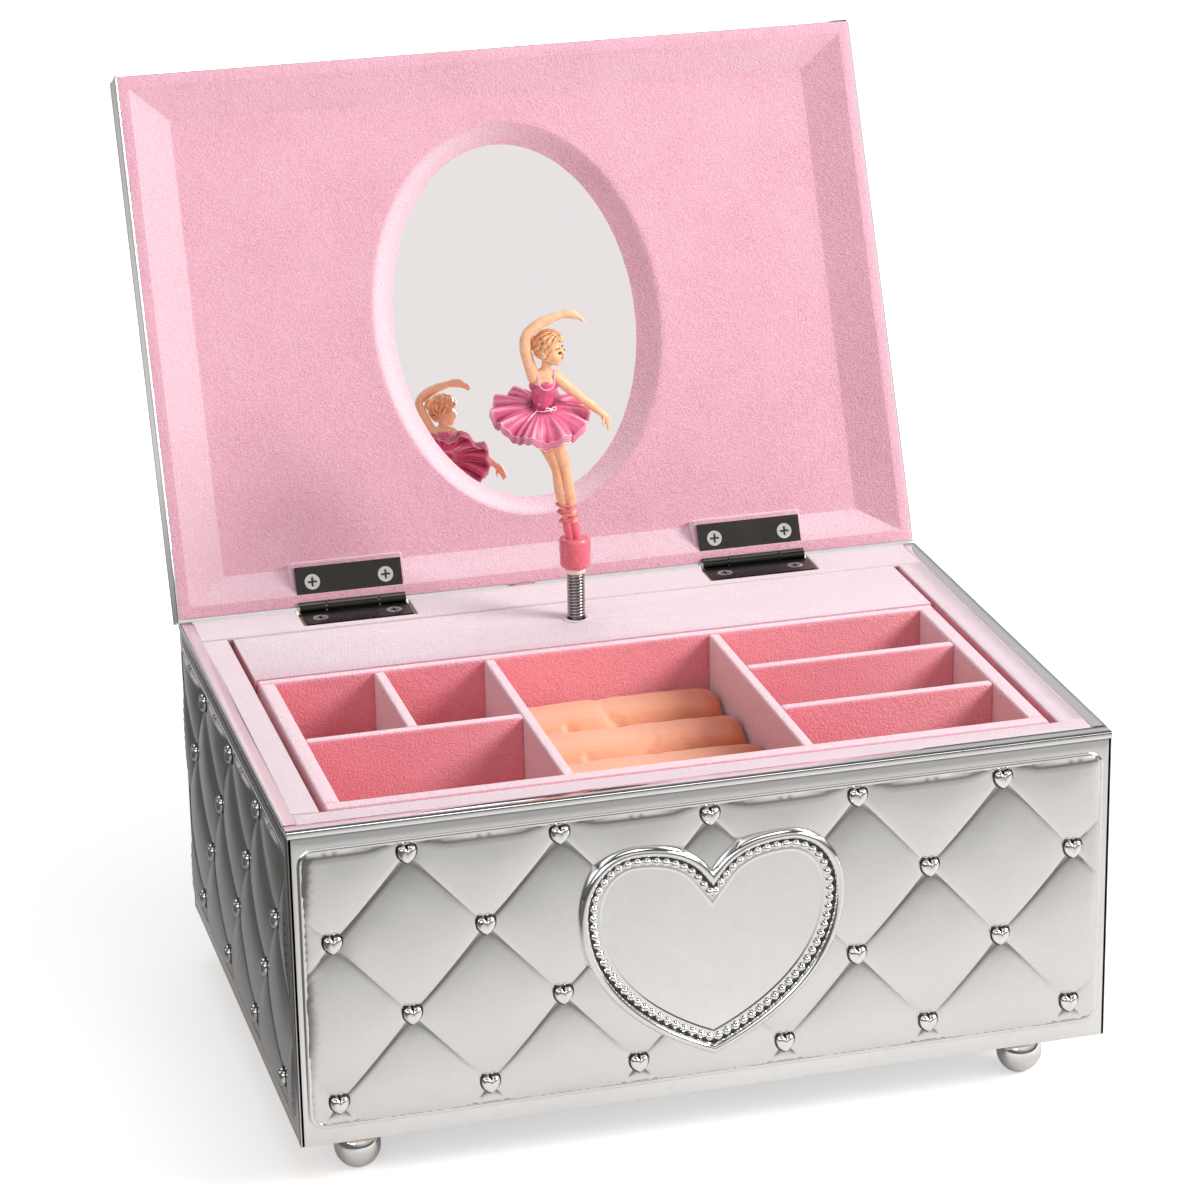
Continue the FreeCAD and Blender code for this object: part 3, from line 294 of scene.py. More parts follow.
# Screw heads, with painted shade in their creases and a painted highlight on their edges.
SCREW = material("screw_bright", (0.36, 0.35, 0.34), (0.22, 0.215, 0.21), (0.18, 0.3), 1500, 200,
                 worn=((0.05, 0.05, 0.05), (0.66, 0.65, 0.63)), **METAL)
SPRING = material("spring_wire", (0.46, 0.45, 0.44), (0.30, 0.29, 0.28), (0.14, 0.22), 2500, 300,
                  metal=1.0, bump=0.00002, bump_strength=0.3)
BRASS = material("movement_brass_metal", (0.80, 0.58, 0.27), (0.66, 0.45, 0.19), (0.22, 0.38), 900, 80,
                 stretch=(1, 1, 5), **METAL)
STEEL = material("movement_steel_metal", (0.60, 0.60, 0.61), (0.48, 0.48, 0.49), (0.2, 0.35), 1000, 90,
                 stretch=(4, 1, 1), **METAL)
IRON = material("bedplate_cast", (0.47, 0.46, 0.44), (0.32, 0.31, 0.30), (0.42, 0.6), 700, 60,
                metal=0.9, bump=0.00015, bump_strength=0.5)
BOARD = material("fibreboard", (0.62, 0.44, 0.27), (0.45, 0.29, 0.16), (0.7, 0.9), 500, 45,
                 stretch=(0.2, 1, 1), bump=0.0002, bump_strength=0.5)
FELT = material("felt_pile", (0.27, 0.27, 0.28), (0.16, 0.16, 0.17), (0.9, 1.0), 1300, 60,
                bump=0.0005, bump_strength=0.7, sheen=0.4, specular=0.1)
CORAL = material("coral_plastic", (0.80, 0.19, 0.25), (0.70, 0.13, 0.18), (0.26, 0.36), 1200, 150,
                 bump=0.00004, bump_strength=0.25, subsurface=0.15, coat=0.25)
# The dancer's paints below carry painted shade in their creases and a painted highlight on their edges.
SKIN = material("skin_paint", (0.90, 0.55, 0.34), (0.80, 0.42, 0.23), (0.34, 0.46), 700, 160,
                bump=0.00006, bump_strength=0.3, subsurface=0.2, coat=0.15,
                worn=((0.62, 0.24, 0.11), (0.93, 0.62, 0.41)))
HAIR = material("hair_paint", (0.80, 0.40, 0.18), (0.58, 0.22, 0.08), (0.3, 0.42), 900, 200,
                stretch=(1, 1, 0.3), bump=0.0001, bump_strength=0.5, coat=0.15,
                worn=((0.30, 0.08, 0.03), (0.96, 0.66, 0.38)))
BODICE = material("bodice_paint", (0.66, 0.10, 0.21), (0.54, 0.06, 0.15), (0.34, 0.46), 900, 180,
                  bump=0.00005, bump_strength=0.3, subsurface=0.1, coat=0.12,
                  worn=((0.34, 0.02, 0.07), (0.84, 0.36, 0.47)))
NET = material("tutu_paint", (0.70, 0.135, 0.26), (0.54, 0.07, 0.17), (0.34, 0.48), 1100, 260,
               bump=0.0001, bump_strength=0.5, subsurface=0.08, coat=0.12, patch_mix=0.5, patch_gain=1.3,
               worn=((0.30, 0.015, 0.07), (0.90, 0.46, 0.58)))
BOW = material("bow_paint", (0.84, 0.46, 0.55), (0.74, 0.34, 0.43), (0.34, 0.46), 900, 200,
               bump=0.00004, bump_strength=0.25, coat=0.12, worn=((0.5, 0.12, 0.2), (0.95, 0.72, 0.76)))
EYE = material("eye_paint", (0.10, 0.04, 0.02), (0.05, 0.02, 0.01), (0.15, 0.25), 900, 200, coat=0.4)
LIP = material("lip_paint", (0.72, 0.14, 0.12), (0.6, 0.1, 0.09), (0.25, 0.35), 900, 200, coat=0.3)
PALE = material("pale_plastic", (0.92, 0.82, 0.78), (0.84, 0.70, 0.66), (0.3, 0.4), 900, 180,
                bump=0.00004, bump_strength=0.25, subsurface=0.1)
FLOOR = material("studio_paper", (0.96, 0.965, 0.97), (0.95, 0.955, 0.96), (0.7, 0.8), 300, 4,
                 bump=0.00005, bump_strength=0.1, specular=0.2)

SLOT_FINISH = {
    "board": BOARD, "silver_plate": POLISH, "polished_silver": CHROME, "pink_velvet": VELVET,
    "rose_flock": FLOCK, "peach_satin": SATIN, "base_felt": FELT, "screw_steel": SCREW,
    "hinge_steel": GUNMETAL, "mirror_glass": MIRROR, "bedplate_iron": IRON,
    "movement_brass": BRASS, "movement_steel": STEEL, "spring_steel": SPRING,
    "collar_plastic": CORAL, "skin_plastic": SKIN, "bodice_plastic": BODICE,
    "hair_plastic": HAIR, "tutu_net": NET,
}


SLOTS = {part["node"]: part["material_slot"] for part in frame["record"]["subparts"]}


# ---- mesh building -----------------------------------------------------------------------
class Shape:
    """Points, faces and a material number for each face, gathered before the mesh is made."""

    def __init__(self):
        self.points, self.faces, self.marks = [], [], []

    def add(self, points, faces, mark=0):
        base = len(self.points)
        self.points += [tuple(p) for p in points]
        self.faces += [[base + n for n in face] for face in faces]
        self.marks += [mark] * len(faces)

    def rings(self, rings, mark=0, cap_start=False, cap_end=False, loop=False):
        """Skins a row of closed rings that have the same number of points each."""
        count = len(rings[0])
        points = [p for ring in rings for p in ring]
        faces = []
        pairs = [(n, n + 1) for n in range(len(rings) - 1)]
        if loop:
            pairs.append((len(rings) - 1, 0))
        for low, high in pairs:
            for n in range(count):
                m = (n + 1) % count
                faces.append([low * count + n, low * count + m, high * count + m, high * count + n])
        if cap_start:
            faces.append(list(range(count))[::-1])
        if cap_end:
            faces.append([(len(rings) - 1) * count + n for n in range(count)])
        self.add(points, faces, mark)

    def join(self, other):
        base = len(self.points)
        self.points += other.points
        self.faces += [[base + n for n in face] for face in other.faces]
        self.marks += other.marks

    def wire(self, path, radius, sides=8, closed=False):
        """A round wire along a path, capped at its ends unless the path is closed."""
        rings = tube(path, radius, sides, closed)
        self.rings(rings, 0, cap_start=not closed, cap_end=not closed, loop=closed)

    def moved(self, change):
        self.points = [tuple(change(p)) for p in self.points]
        return self


def linked_object(name, data):
    """An object in the scene."""
    thing = bpy.data.objects.new(name, data)
    bpy.context.scene.collection.objects.link(thing)
    return thing


def make(name, shape, finishes, body, replaced=(), sharp=35, weld=0.0):
    """Makes the object of a shape, with its finish, CAD body and the nodes it stands for.

    sharp is the angle in degrees above which an edge stays sharp, and weld the distance in
    millimetres below which points join.
    """
    mesh = bpy.data.meshes.new(name)
    mesh.from_pydata([place(p) for p in shape.points], [], shape.faces)
    for finish in finishes:
        mesh.materials.append(finish)
    mesh.polygons.foreach_set("material_index", shape.marks)
    edit = bmesh.new()
    edit.from_mesh(mesh)
    if weld:
        bmesh.ops.remove_doubles(edit, verts=edit.verts, dist=weld * MM)
    bmesh.ops.recalc_face_normals(edit, faces=edit.faces)
    edit.to_mesh(mesh)
    edit.free()
    mesh.validate()
    mesh.shade_smooth()
    mesh.set_sharp_from_angle(angle=math.radians(sharp))
    piece = linked_object(name, mesh)
    if body:
        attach(piece, body)
    if replaced:
        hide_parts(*replaced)
    return piece


def evaluated_mesh(piece):
    """A piece's mesh with its modifiers worked in."""
    graph = bpy.context.evaluated_depsgraph_get()
    return bpy.data.meshes.new_from_object(piece.evaluated_get(graph), depsgraph=graph)


def applied(piece):
    """Turns a piece's modifiers into its mesh."""
    mesh = evaluated_mesh(piece)
    piece.modifiers.clear()
    old = piece.data
    piece.data = mesh
    bpy.data.meshes.remove(old)
    return piece


def softened(node, name, finish, radius, body):
    """A copy of a CAD node with its edges rounded, as flocked and moulded pieces have."""
    mesh = frame["nodes"][node].data.copy()
    mesh.name = name
    edit = bmesh.new()
    edit.from_mesh(mesh)
    bmesh.ops.remove_doubles(edit, verts=edit.verts, dist=0.01 * MM)
    bmesh.ops.dissolve_limit(edit, angle_limit=math.radians(2), verts=edit.verts, edges=edit.edges)
    edit.to_mesh(mesh)
    edit.free()
    mesh.materials.clear()
    mesh.materials.append(finish)
    mesh.polygons.foreach_set("material_index", [0] * len(mesh.polygons))
    if mesh.has_custom_normals:
        mesh.attributes.remove(mesh.attributes["custom_normal"])
    piece = linked_object(name, mesh)
    bevel = piece.modifiers.new("round", "BEVEL")
    bevel.width = radius * MM
    bevel.segments = 3
    bevel.limit_method = "ANGLE"
    bevel.angle_limit = math.radians(30)
    applied(piece)
    piece.data.shade_smooth()
    piece.data.set_sharp_from_angle(angle=math.radians(40))
    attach(piece, body)
    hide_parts(node)


def rounded_rectangle(cx, cy, half_x, half_y, radius, per_x=24, per_y=16, per_corner=4):
    """(a, b) points round a rectangle with rounded corners, from its lower right corner up."""
    radius = max(radius, 0.02)
    in_x, in_y = half_x - radius, half_y - radius
    points = []
    sides = (((half_x, -in_y), (half_x, in_y), per_y, (in_x, in_y), 0),
             ((in_x, half_y), (-in_x, half_y), per_x, (-in_x, in_y), 90),
             ((-half_x, in_y), (-half_x, -in_y), per_y, (-in_x, -in_y), 180),
             ((-in_x, -half_y), (in_x, -half_y), per_x, (in_x, -in_y), 270))
    for start, end, count, centre, angle in sides:
        for n in range(count):
            t = n / (count - 1)
            a, b = (p + (q - p) * t for p, q in zip(start, end))
            points.append((cx + a, cy + b))
        for n in range(1, per_corner):
            turn = math.radians(angle + 90 * n / per_corner)
            a, b = centre[0] + radius * math.cos(turn), centre[1] + radius * math.sin(turn)
            points.append((cx + a, cy + b))
    return points


# ---- quilted panels ----------------------------------------------------------------------
QUILT_LOW, QUILT_REST = -0.3, 0.42
PINCH = 2.4
DOME_RISE = 0.80
GROOVE_DEPTH, GROOVE_WIDTH = 0.17, 0.38
TUFT_DEPTH, TUFT_REACH = 1.05, 3.9
FIELD_CORNER = 3.0
CELL_STEPS = 22
CELL_WIDTH = PITCH_X * 2 * PITCH_Z / math.hypot(PITCH_X, 2 * PITCH_Z)


def cell_place(n):
    """Steps across a pillow, closer together near its creases."""
    t = n / CELL_STEPS
    return 0.25 * t + 0.75 * (0.5 - 0.5 * math.cos(math.pi * t))


class Panel:
    """A plated wall: a quilted field in a flat border, on (u, v, h): across, up and out."""

    def __init__(self, half_u, low, high, field, pitch_u, stud_v):
        self.half_u, self.low, self.high = half_u, low, high
        self.field, self.pitch_u, self.stud_v = field, pitch_u, stud_v
        self.centre_v = (field[1] + field[2]) / 2
        self.half_field = (field[0], (field[2] - field[1]) / 2)

    def edge_distance(self, u, v):
        """How far inside the field's rounded edge a point is."""
        du = abs(u) - (self.half_field[0] - FIELD_CORNER)
        dv = abs(v - self.centre_v) - (self.half_field[1] - FIELD_CORNER)
        outside = math.hypot(max(du, 0.0), max(dv, 0.0)) + min(max(du, dv), 0.0)
        return FIELD_CORNER - outside

    def height(self, u, v):
        """How proud the quilted sheet stands at a point."""
        p, q = u / self.pitch_u, (v - self.stud_v) / (2 * PITCH_Z)
        a, b = p + q + 0.5, p - q + 0.5
        fa, fb = a - math.floor(a), b - math.floor(b)
        rise_a, rise_b = max(math.sin(math.pi * fa), 1e-4), max(math.sin(math.pi * fb), 1e-4)
        nearest = (2 / (rise_a ** -PINCH + rise_b ** -PINCH)) ** (1 / PINCH)
        inside = self.edge_distance(u, v)
        dome = DOME_RISE * nearest * (0.5 + 0.5 * smoothstep(-2.0, 9.0, inside))
        crease = min(fa, 1 - fa, fb, 1 - fb) * CELL_WIDTH
        groove = GROOVE_DEPTH * math.exp(-(crease / GROOVE_WIDTH) ** 2) * smoothstep(0.0, 3.5, inside)
        tuft = 0.0
        for ea, eb in ((0, 0), (0, 1), (1, 0), (1, 1)):
            da, db = fa - ea, fb - eb
            reach = math.hypot((da + db) * self.pitch_u / 2, (da - db) * PITCH_Z)
            tuft += TUFT_DEPTH * math.exp(-reach / TUFT_REACH)
        wobble = 0.05 * noise.noise(Vector((u * 0.11, v * 0.11, self.pitch_u)))
        full = QUILT_REST + dome - groove - tuft + wobble
        return QUILT_LOW + (full - QUILT_LOW) * smoothstep(-0.35, 0.5, inside)

    def quilt(self):
        """The field's sheet, on a grid that follows the diagonal creases."""
        reach_u, reach_v = self.half_field[0] + 0.6, self.half_field[1] + 0.6
        cells = int(reach_u / self.pitch_u + reach_v / PITCH_Z) + 2
        edit = bmesh.new()
        found = {}

        def corner(i, j):
            if (i, j) not in found:
                a = i // CELL_STEPS + cell_place(i % CELL_STEPS) - 0.5
                b = j // CELL_STEPS + cell_place(j % CELL_STEPS) - 0.5
                u, v = (a + b) * self.pitch_u / 2, (a - b) * PITCH_Z + self.stud_v
                found[(i, j)] = edit.verts.new((u, v, 0))
            return found[(i, j)]

        for ca in range(-cells, cells + 1):
            for cb in range(-cells, cells + 1):
                u, v = (ca + cb) * self.pitch_u / 2, (ca - cb) * PITCH_Z + self.stud_v
                if abs(u) > reach_u + self.pitch_u / 2 or abs(v - self.centre_v) > reach_v + PITCH_Z:
                    continue
                for m in range(CELL_STEPS):
                    for n in range(CELL_STEPS):
                        i, j = ca * CELL_STEPS + m, cb * CELL_STEPS + n
                        around = ((i, j), (i, j + 1), (i + 1, j + 1), (i + 1, j))
                        edit.faces.new([corner(*at) for at in around])
        for axis, centre, reach in ((0, 0.0, reach_u), (1, self.centre_v, reach_v)):
            for sign in (1, -1):
                point, normal = [0, 0, 0], [0, 0, 0]
                point[axis], normal[axis] = centre + sign * reach, sign
                geometry = edit.verts[:] + edit.edges[:] + edit.faces[:]
                bmesh.ops.bisect_plane(edit, geom=geometry, plane_co=point, plane_no=normal,
                                       clear_outer=True)
        edit.verts.index_update()
        points = [(v.co.x, v.co.y, self.height(v.co.x, v.co.y)) for v in edit.verts]
        faces = [[v.index for v in face.verts] for face in edit.faces]
        edit.free()
        return points, faces

    def border(self):
        """The flat border, with a raised line and a groove along its inner edge."""
        hu, hv = self.half_field
        rings = []
        for out, up in ((-0.8, -0.9), (-0.75, -0.25), (-0.55, 0.14), (-0.25, 0.30), (0.15, 0.30),
                        (0.45, 0.12), (0.6, 0.0)):
            loop = rounded_rectangle(0.0, self.centre_v, hu + out, hv + out, FIELD_CORNER + out)
            rings.append([(a, b, up) for a, b in loop])
        mid_v, half_v = (self.low + self.high) / 2, (self.high - self.low) / 2
        for inset, up in ((0.3, 0.0), (0.08, -0.09), (0.0, -0.3), (0.0, -0.8)):
            loop = rounded_rectangle(0.0, mid_v, self.half_u - inset, half_v - inset, 0.05)
            rings.append([(a, b, up) for a, b in loop])
        return rings

    def stud_places(self, hidden=()):
        """Where creases cross, apart from the hidden (row, column) places."""
        places = []
        rows = int((self.field[2] - self.stud_v) / PITCH_Z) + 1
        first = -int((self.stud_v - self.field[1]) / PITCH_Z)
        for row in range(first, rows):
            v = self.stud_v + row * PITCH_Z
            shift = 0.5 if row % 2 == 0 else 0.0
            for n in range(-4, 5):
                u = (n + shift) * self.pitch_u
                if abs(u) < self.half_field[0] - 2 and (row, n + shift) not in hidden:
                    places.append((u, v))
        return places


def bezier(poles, t):
    """A point of a cubic curve."""
    s = 1 - t
    weights = (s ** 3, 3 * s * s * t, 3 * s * t * t, t ** 3)
    return tuple(sum(w * p[k] for w, p in zip(weights, poles)) for k in (0, 1))


def heart_outline(half_width, top, notch, tip, wide, steps=10):
    """A heart, anticlockwise from its notch, down its left side and up its right."""
    lobe, rise, fall = half_width * 0.56, top - notch, wide - tip
    side = (half_width, wide)
    curves = (
        ((0, notch), (lobe * 0.22, notch + rise * 0.75), (lobe * 0.6, top), (lobe, top)),
        ((lobe, top), (half_width * 0.81, top), (half_width, wide + (top - wide) * 0.57), side),
        (side, (half_width, tip + fall * 0.5), (half_width * 0.5, tip + fall * 0.17), (0, tip)),
    )
    right = [bezier(poles, n / steps) for poles in curves for n in range(steps)] + [(0, tip)]
    left = [(-a, b) for a, b in right]
    return left + right[-2:0:-1]


def inset(outline, distance):
    """The outline moved inwards by a distance, with mitred corners."""
    count = len(outline)
    moved = []
    for n, (a, b) in enumerate(outline):
        before, after = outline[n - 1], outline[(n + 1) % count]
        first = Vector((a - before[0], b - before[1])).normalized()
        second = Vector((after[0] - a, after[1] - b)).normalized()
        inward = Vector((-first.y, first.x)) + Vector((-second.y, second.x))
        if inward.length < 1e-6:
            inward = Vector((-first.y, first.x))
        inward.normalize()
        reach = distance / max(inward.dot(Vector((-first.y, first.x))), 0.5)
        moved.append((a + inward.x * reach, b + inward.y * reach))
    return uncrossed(outline, moved)


def uncrossed(outline, moved):
    """Gathers points that an inset has carried over the middle line where the line is met."""
    wrong = [n for n, (old, new) in enumerate(zip(outline, moved)) if old[0] * new[0] < 0]
    for n in wrong:
        away = 1 if abs(outline[(n + 1) % len(outline)][0]) > abs(outline[n][0]) else -1
        near = n
        while near in wrong:
            near = (near + away) % len(moved)
        last = (near - away) % len(moved)
        apart = moved[near][0] - moved[last][0]
        t = moved[near][0] / apart if apart else 0.0
        moved[n] = (0.0, moved[near][1] + (moved[last][1] - moved[near][1]) * t)
    return moved


def stud_shape(shape, u, v, lift=0.0):
    """A small domed heart of the first finish, on a thin flange of the second, which the callers give as dark
    plate that paints shade round the stud's foot.
    """
    outline = heart_outline(2.0, 1.75, 1.05, -2.15, 0.5, 5)
    rings = []
    for size, up in ((1.16, -0.45), (1.16, -0.02), (1.06, 0.10), (0.98, 0.16), (0.96, 0.55),
                     (0.86, 0.95), (0.64, 1.2), (0.32, 1.33)):
        rings.append([(u + a * size, v + b * size, lift + up) for a, b in outline])
    # the flange takes the second finish, dark plate that paints shade round the stud's foot
    shape.rings(rings[:4], 1)
    shape.rings(rings[3:], 0, cap_end=True)


def panel_shape(panel, hidden=()):
    """A plated wall's sheet and border, and its studs."""
    shape = Shape()
    points, faces = panel.quilt()
    shape.add(points, faces, 0)
    shape.rings(panel.border(), 1)
    studs = Shape()
    for u, v in panel.stud_places(hidden):
        stud_shape(studs, u, v)
    return shape, studs


def strip(shape, profile, start, end, axis, mark):
    """A folded strip: an (outward or inward, up) profile drawn from start to end along an axis."""
    rings = []
    for at in (start, start + 0.15, end - 0.15, end):
        rings.append([(at, a, b) if axis == "x" else (a, at, b) for a, b in profile])
    shape.rings(rings, mark, cap_start=True, cap_end=True)


def lip_profile(depth):
    """A lip folded over the top of the wall, from 1.4 mm down its face to its inner edge."""
    low, top = HEIGHT - 1.35, HEIGHT + 0.1
    return [(0.3, low), (-0.1, low + 0.06), (-0.2, low + 0.25), (-0.22, top - 0.45),
            (-0.12, top - 0.12), (0.15, top), (depth - 0.25, top), (depth, top - 0.1),
            (depth, top - 0.9), (0.3, top - 0.9)]


FIELD_LOW, FIELD_HIGH = 4.3, 66.4
BORDER = 2.4


def box_panels():
    """The four quilted walls, with the lips folded over them and their studs."""
    top = HEIGHT - 1.0
    front = Panel(HALF, 0.0, top, (HALF - BORDER, FIELD_LOW, FIELD_HIGH), PITCH_X, STUD_LOW)
    side = Panel(DEPTH / 2, 0.0, top, (DEPTH / 2 - BORDER, FIELD_LOW, FIELD_HIGH), PITCH_Y, STUD_LOW)
    behind_heart = ((1, 0.0), (2, 0.5), (2, -0.5))
    ways = {
        "front": (front, lambda p: (p[0], -p[2], p[1]), behind_heart),
        "back": (front, lambda p: (-p[0], DEPTH + p[2], p[1]), ()),
        "left": (side, lambda p: (-HALF - p[2], DEPTH / 2 - p[0], p[1]), ()),
        "right": (side, lambda p: (HALF + p[2], DEPTH / 2 + p[0], p[1]), ()),
    }
    all_studs = Shape()
    for name, (panel, turn, hidden) in ways.items():
        shape, studs = panel_shape(panel, hidden)
        shape.moved(turn)
        add_lip(shape, name)
        make("panel_" + name, shape, [QUILT, POLISH], "box", ["shell_" + name])
        studs.moved(turn)
        all_studs.join(studs)
    make("heart_studs", all_studs, [CHROME, RECESS_SHADE], "box", ["box_studs"], sharp=50,
         weld=0.001)


def add_lip(shape, name):
    """The lip of one wall. The back has none."""
    if name == "front":
        strip(shape, lip_profile(3.8), -HALF + 0.1, HALF - 0.1, "x", 1)
    elif name in ("left", "right"):
        outer = -HALF if name == "left" else HALF
        inwards = 1 if name == "left" else -1
        profile = [(outer + inwards * a, b) for a, b in lip_profile(3.0)]
        strip(shape, profile, 3.95, DEPTH - 0.1, "y", 1)


def back_edge():
    """Velvet carried over the back plate's top edge, between the hinges."""
    half = 13.3
    spans = ((-HALF + 0.3, HINGE_X[0] - half), (HINGE_X[0] + half, HINGE_X[1] - half),
             (HINGE_X[1] + half, HALF - 0.3))
    top = HEIGHT + 0.02
    profile = [(DEPTH - 1.2, top - 1.0), (DEPTH - 1.2, top), (DEPTH - 0.3, top),
               (DEPTH + 0.02, top - 0.15), (DEPTH + 0.1, top - 0.4), (DEPTH + 0.1, top - 1.0)]
    shape = Shape()
    for start, end in spans:
        strip(shape, profile, start, end, "x", 0)
    make("back_edge_velvet", shape, [VELVET], "box")


HEART_MIDDLE_Z = 36.0
BEADS = 76


def heart_plate():
    """The engraving plate: a rounded rim, a step, a line of small points on a dark track that paints shade
    between them, and a polished middle.
    """
    outline = heart_outline(29.0, 58.8, 51.6, 9.4, 44.0, 16)
    profile = ((0.0, -0.6), (0.0, 1.2), (0.12, 1.75), (0.45, 2.25), (0.95, 2.55), (1.45, 2.5),
               (1.85, 2.15), (2.02, 1.7), (2.1, 1.35), (2.3, 1.3), (3.5, 1.3), (4.3, 1.3),
               (4.5, 1.36), (4.75, 1.36), (4.95, 1.2), (5.15, 1.2), (5.5, 1.2))
    shape = Shape()
    rings = []
    for reach, up in profile:
        rings.append([(a, -up, b) for a, b in inset(outline, reach)])
    last = inset(outline, profile[-1][0])
    for size in (0.75, 0.45, 0.15):
        rings.append([(a * size, -profile[-1][1], HEART_MIDDLE_Z + (b - HEART_MIDDLE_Z) * size)
                      for a, b in last])
    shape.rings(rings[:9], 0)
    # the track under the points is dark plate, painted shade between them
    shape.rings(rings[8:11], 1)
    shape.rings(rings[10:], 0, cap_end=True)
    make("heart_engraving_plate", shape, [POLISH, RECESS_SHADE], "box", ["heart_plaque"],
         sharp=50, weld=0.001)
    beads = Shape()
    for a, b, turn in evenly(inset(outline, 3.25), BEADS):
        bead(beads, a, b, turn)
    make("heart_beads", beads, [CHROME], "box", sharp=60)


def bead(shape, a, b, turn):
    """A small point, drawn out a little along the line that it stands in."""
    rings = []
    for size, up in ((1.0, 1.2), (0.94, 1.45), (0.70, 1.85), (0.38, 2.15), (0.1, 2.26)):
        ring = []
        for n, angle in enumerate(turns(8)):
            reach = size * (1.0 if n % 4 else 1.18)
            ring.append((a + reach * math.cos(turn + angle), -up, b + reach * math.sin(turn + angle)))
        rings.append(ring)
    shape.rings(rings, 0, cap_end=True)


def evenly(loop, count):
    """(a, b, direction) at even distances round a closed loop."""
    ends = loop[1:] + loop[:1]
    lengths = [math.dist(p, q) for p, q in zip(loop, ends)]
    step = sum(lengths) / count
    places, walked, wanted = [], 0.0, step / 2
    for p, q, length in zip(loop, ends, lengths):
        while wanted <= walked + length and len(places) < count:
            t = (wanted - walked) / length
            turn = math.atan2(q[1] - p[1], q[0] - p[0])
            places.append((p[0] + (q[0] - p[0]) * t, p[1] + (q[1] - p[1]) * t, turn))
            wanted += step
        walked += length
    return places


# ---- lid ---------------------------------------------------------------------------------
LID_FRONT, LID_BACK = -1.0, DEPTH
LID_LOW, LID_TOP = HINGE_Z, HINGE_Z + LID_THICK
LID_MIDDLE = (LID_BACK + LID_FRONT) / 2
SHEET_DROP = 0.35


def lid_plate():
    """The lid's plated outside: quilted top, plain sides and a turned rim."""
    half_v = (LID_BACK - LID_FRONT) / 2
    field = (HALF - BORDER, -half_v + BORDER, half_v - BORDER)
    top = Panel(HALF, -half_v, half_v, field, PITCH_X, PITCH_Z)
    shape = Shape()
    points, faces = top.quilt()
    shape.add([(u, v, h - SHEET_DROP) for u, v, h in points], faces, 0)
    shape.rings([[(a, b, up - SHEET_DROP) for a, b, up in ring] for ring in top.border()], 1)
    shape.moved(lambda p: (p[0], LID_MIDDLE + p[1], LID_TOP + p[2]))
    rings = []
    for grow, z in ((0.0, LID_TOP - 0.9), (0.0, LID_TOP - 1.6), (-0.12, LID_TOP - 1.75),
                    (0.0, LID_TOP - 1.9), (0.0, LID_LOW + 1.6), (-0.12, LID_LOW + 1.45),
                    (0.0, LID_LOW + 1.3), (0.0, LID_LOW + 0.5), (-0.08, LID_LOW + 0.3),
                    (-0.25, LID_LOW + 0.22), (-0.5, LID_LOW + 0.3), (-0.55, LID_LOW + 0.8)):
        loop = rounded_rectangle(0.0, LID_MIDDLE, HALF + grow, half_v + grow, 0.3)
        rings.append([(a, b, max(z, LID_LOW + 1.0) if b > DEPTH - 1.5 else z) for a, b in loop])
    shape.rings(rings, 1)
    shape.moved(lid_opened)
    make("lid_plate", shape, [QUILT, POLISH], "lid", ["lid_shell"])
    studs = Shape()
    for row in range(-3, 4):
        count = 6 if row % 2 else 5
        for n in range(count):
            stud_shape(studs, (n - (count - 1) / 2) * PITCH_X, row * PITCH_Z, -SHEET_DROP)
    studs.moved(lambda p: lid_opened((p[0], LID_MIDDLE + p[1], LID_TOP + p[2])))
    make("lid_heart_studs", studs, [CHROME, RECESS_SHADE], "lid", ["lid_studs"], sharp=50,
         weld=0.001)


OVAL_Y = 63.0
LINING_Z, MIRROR_Z = 75.8, 79.3


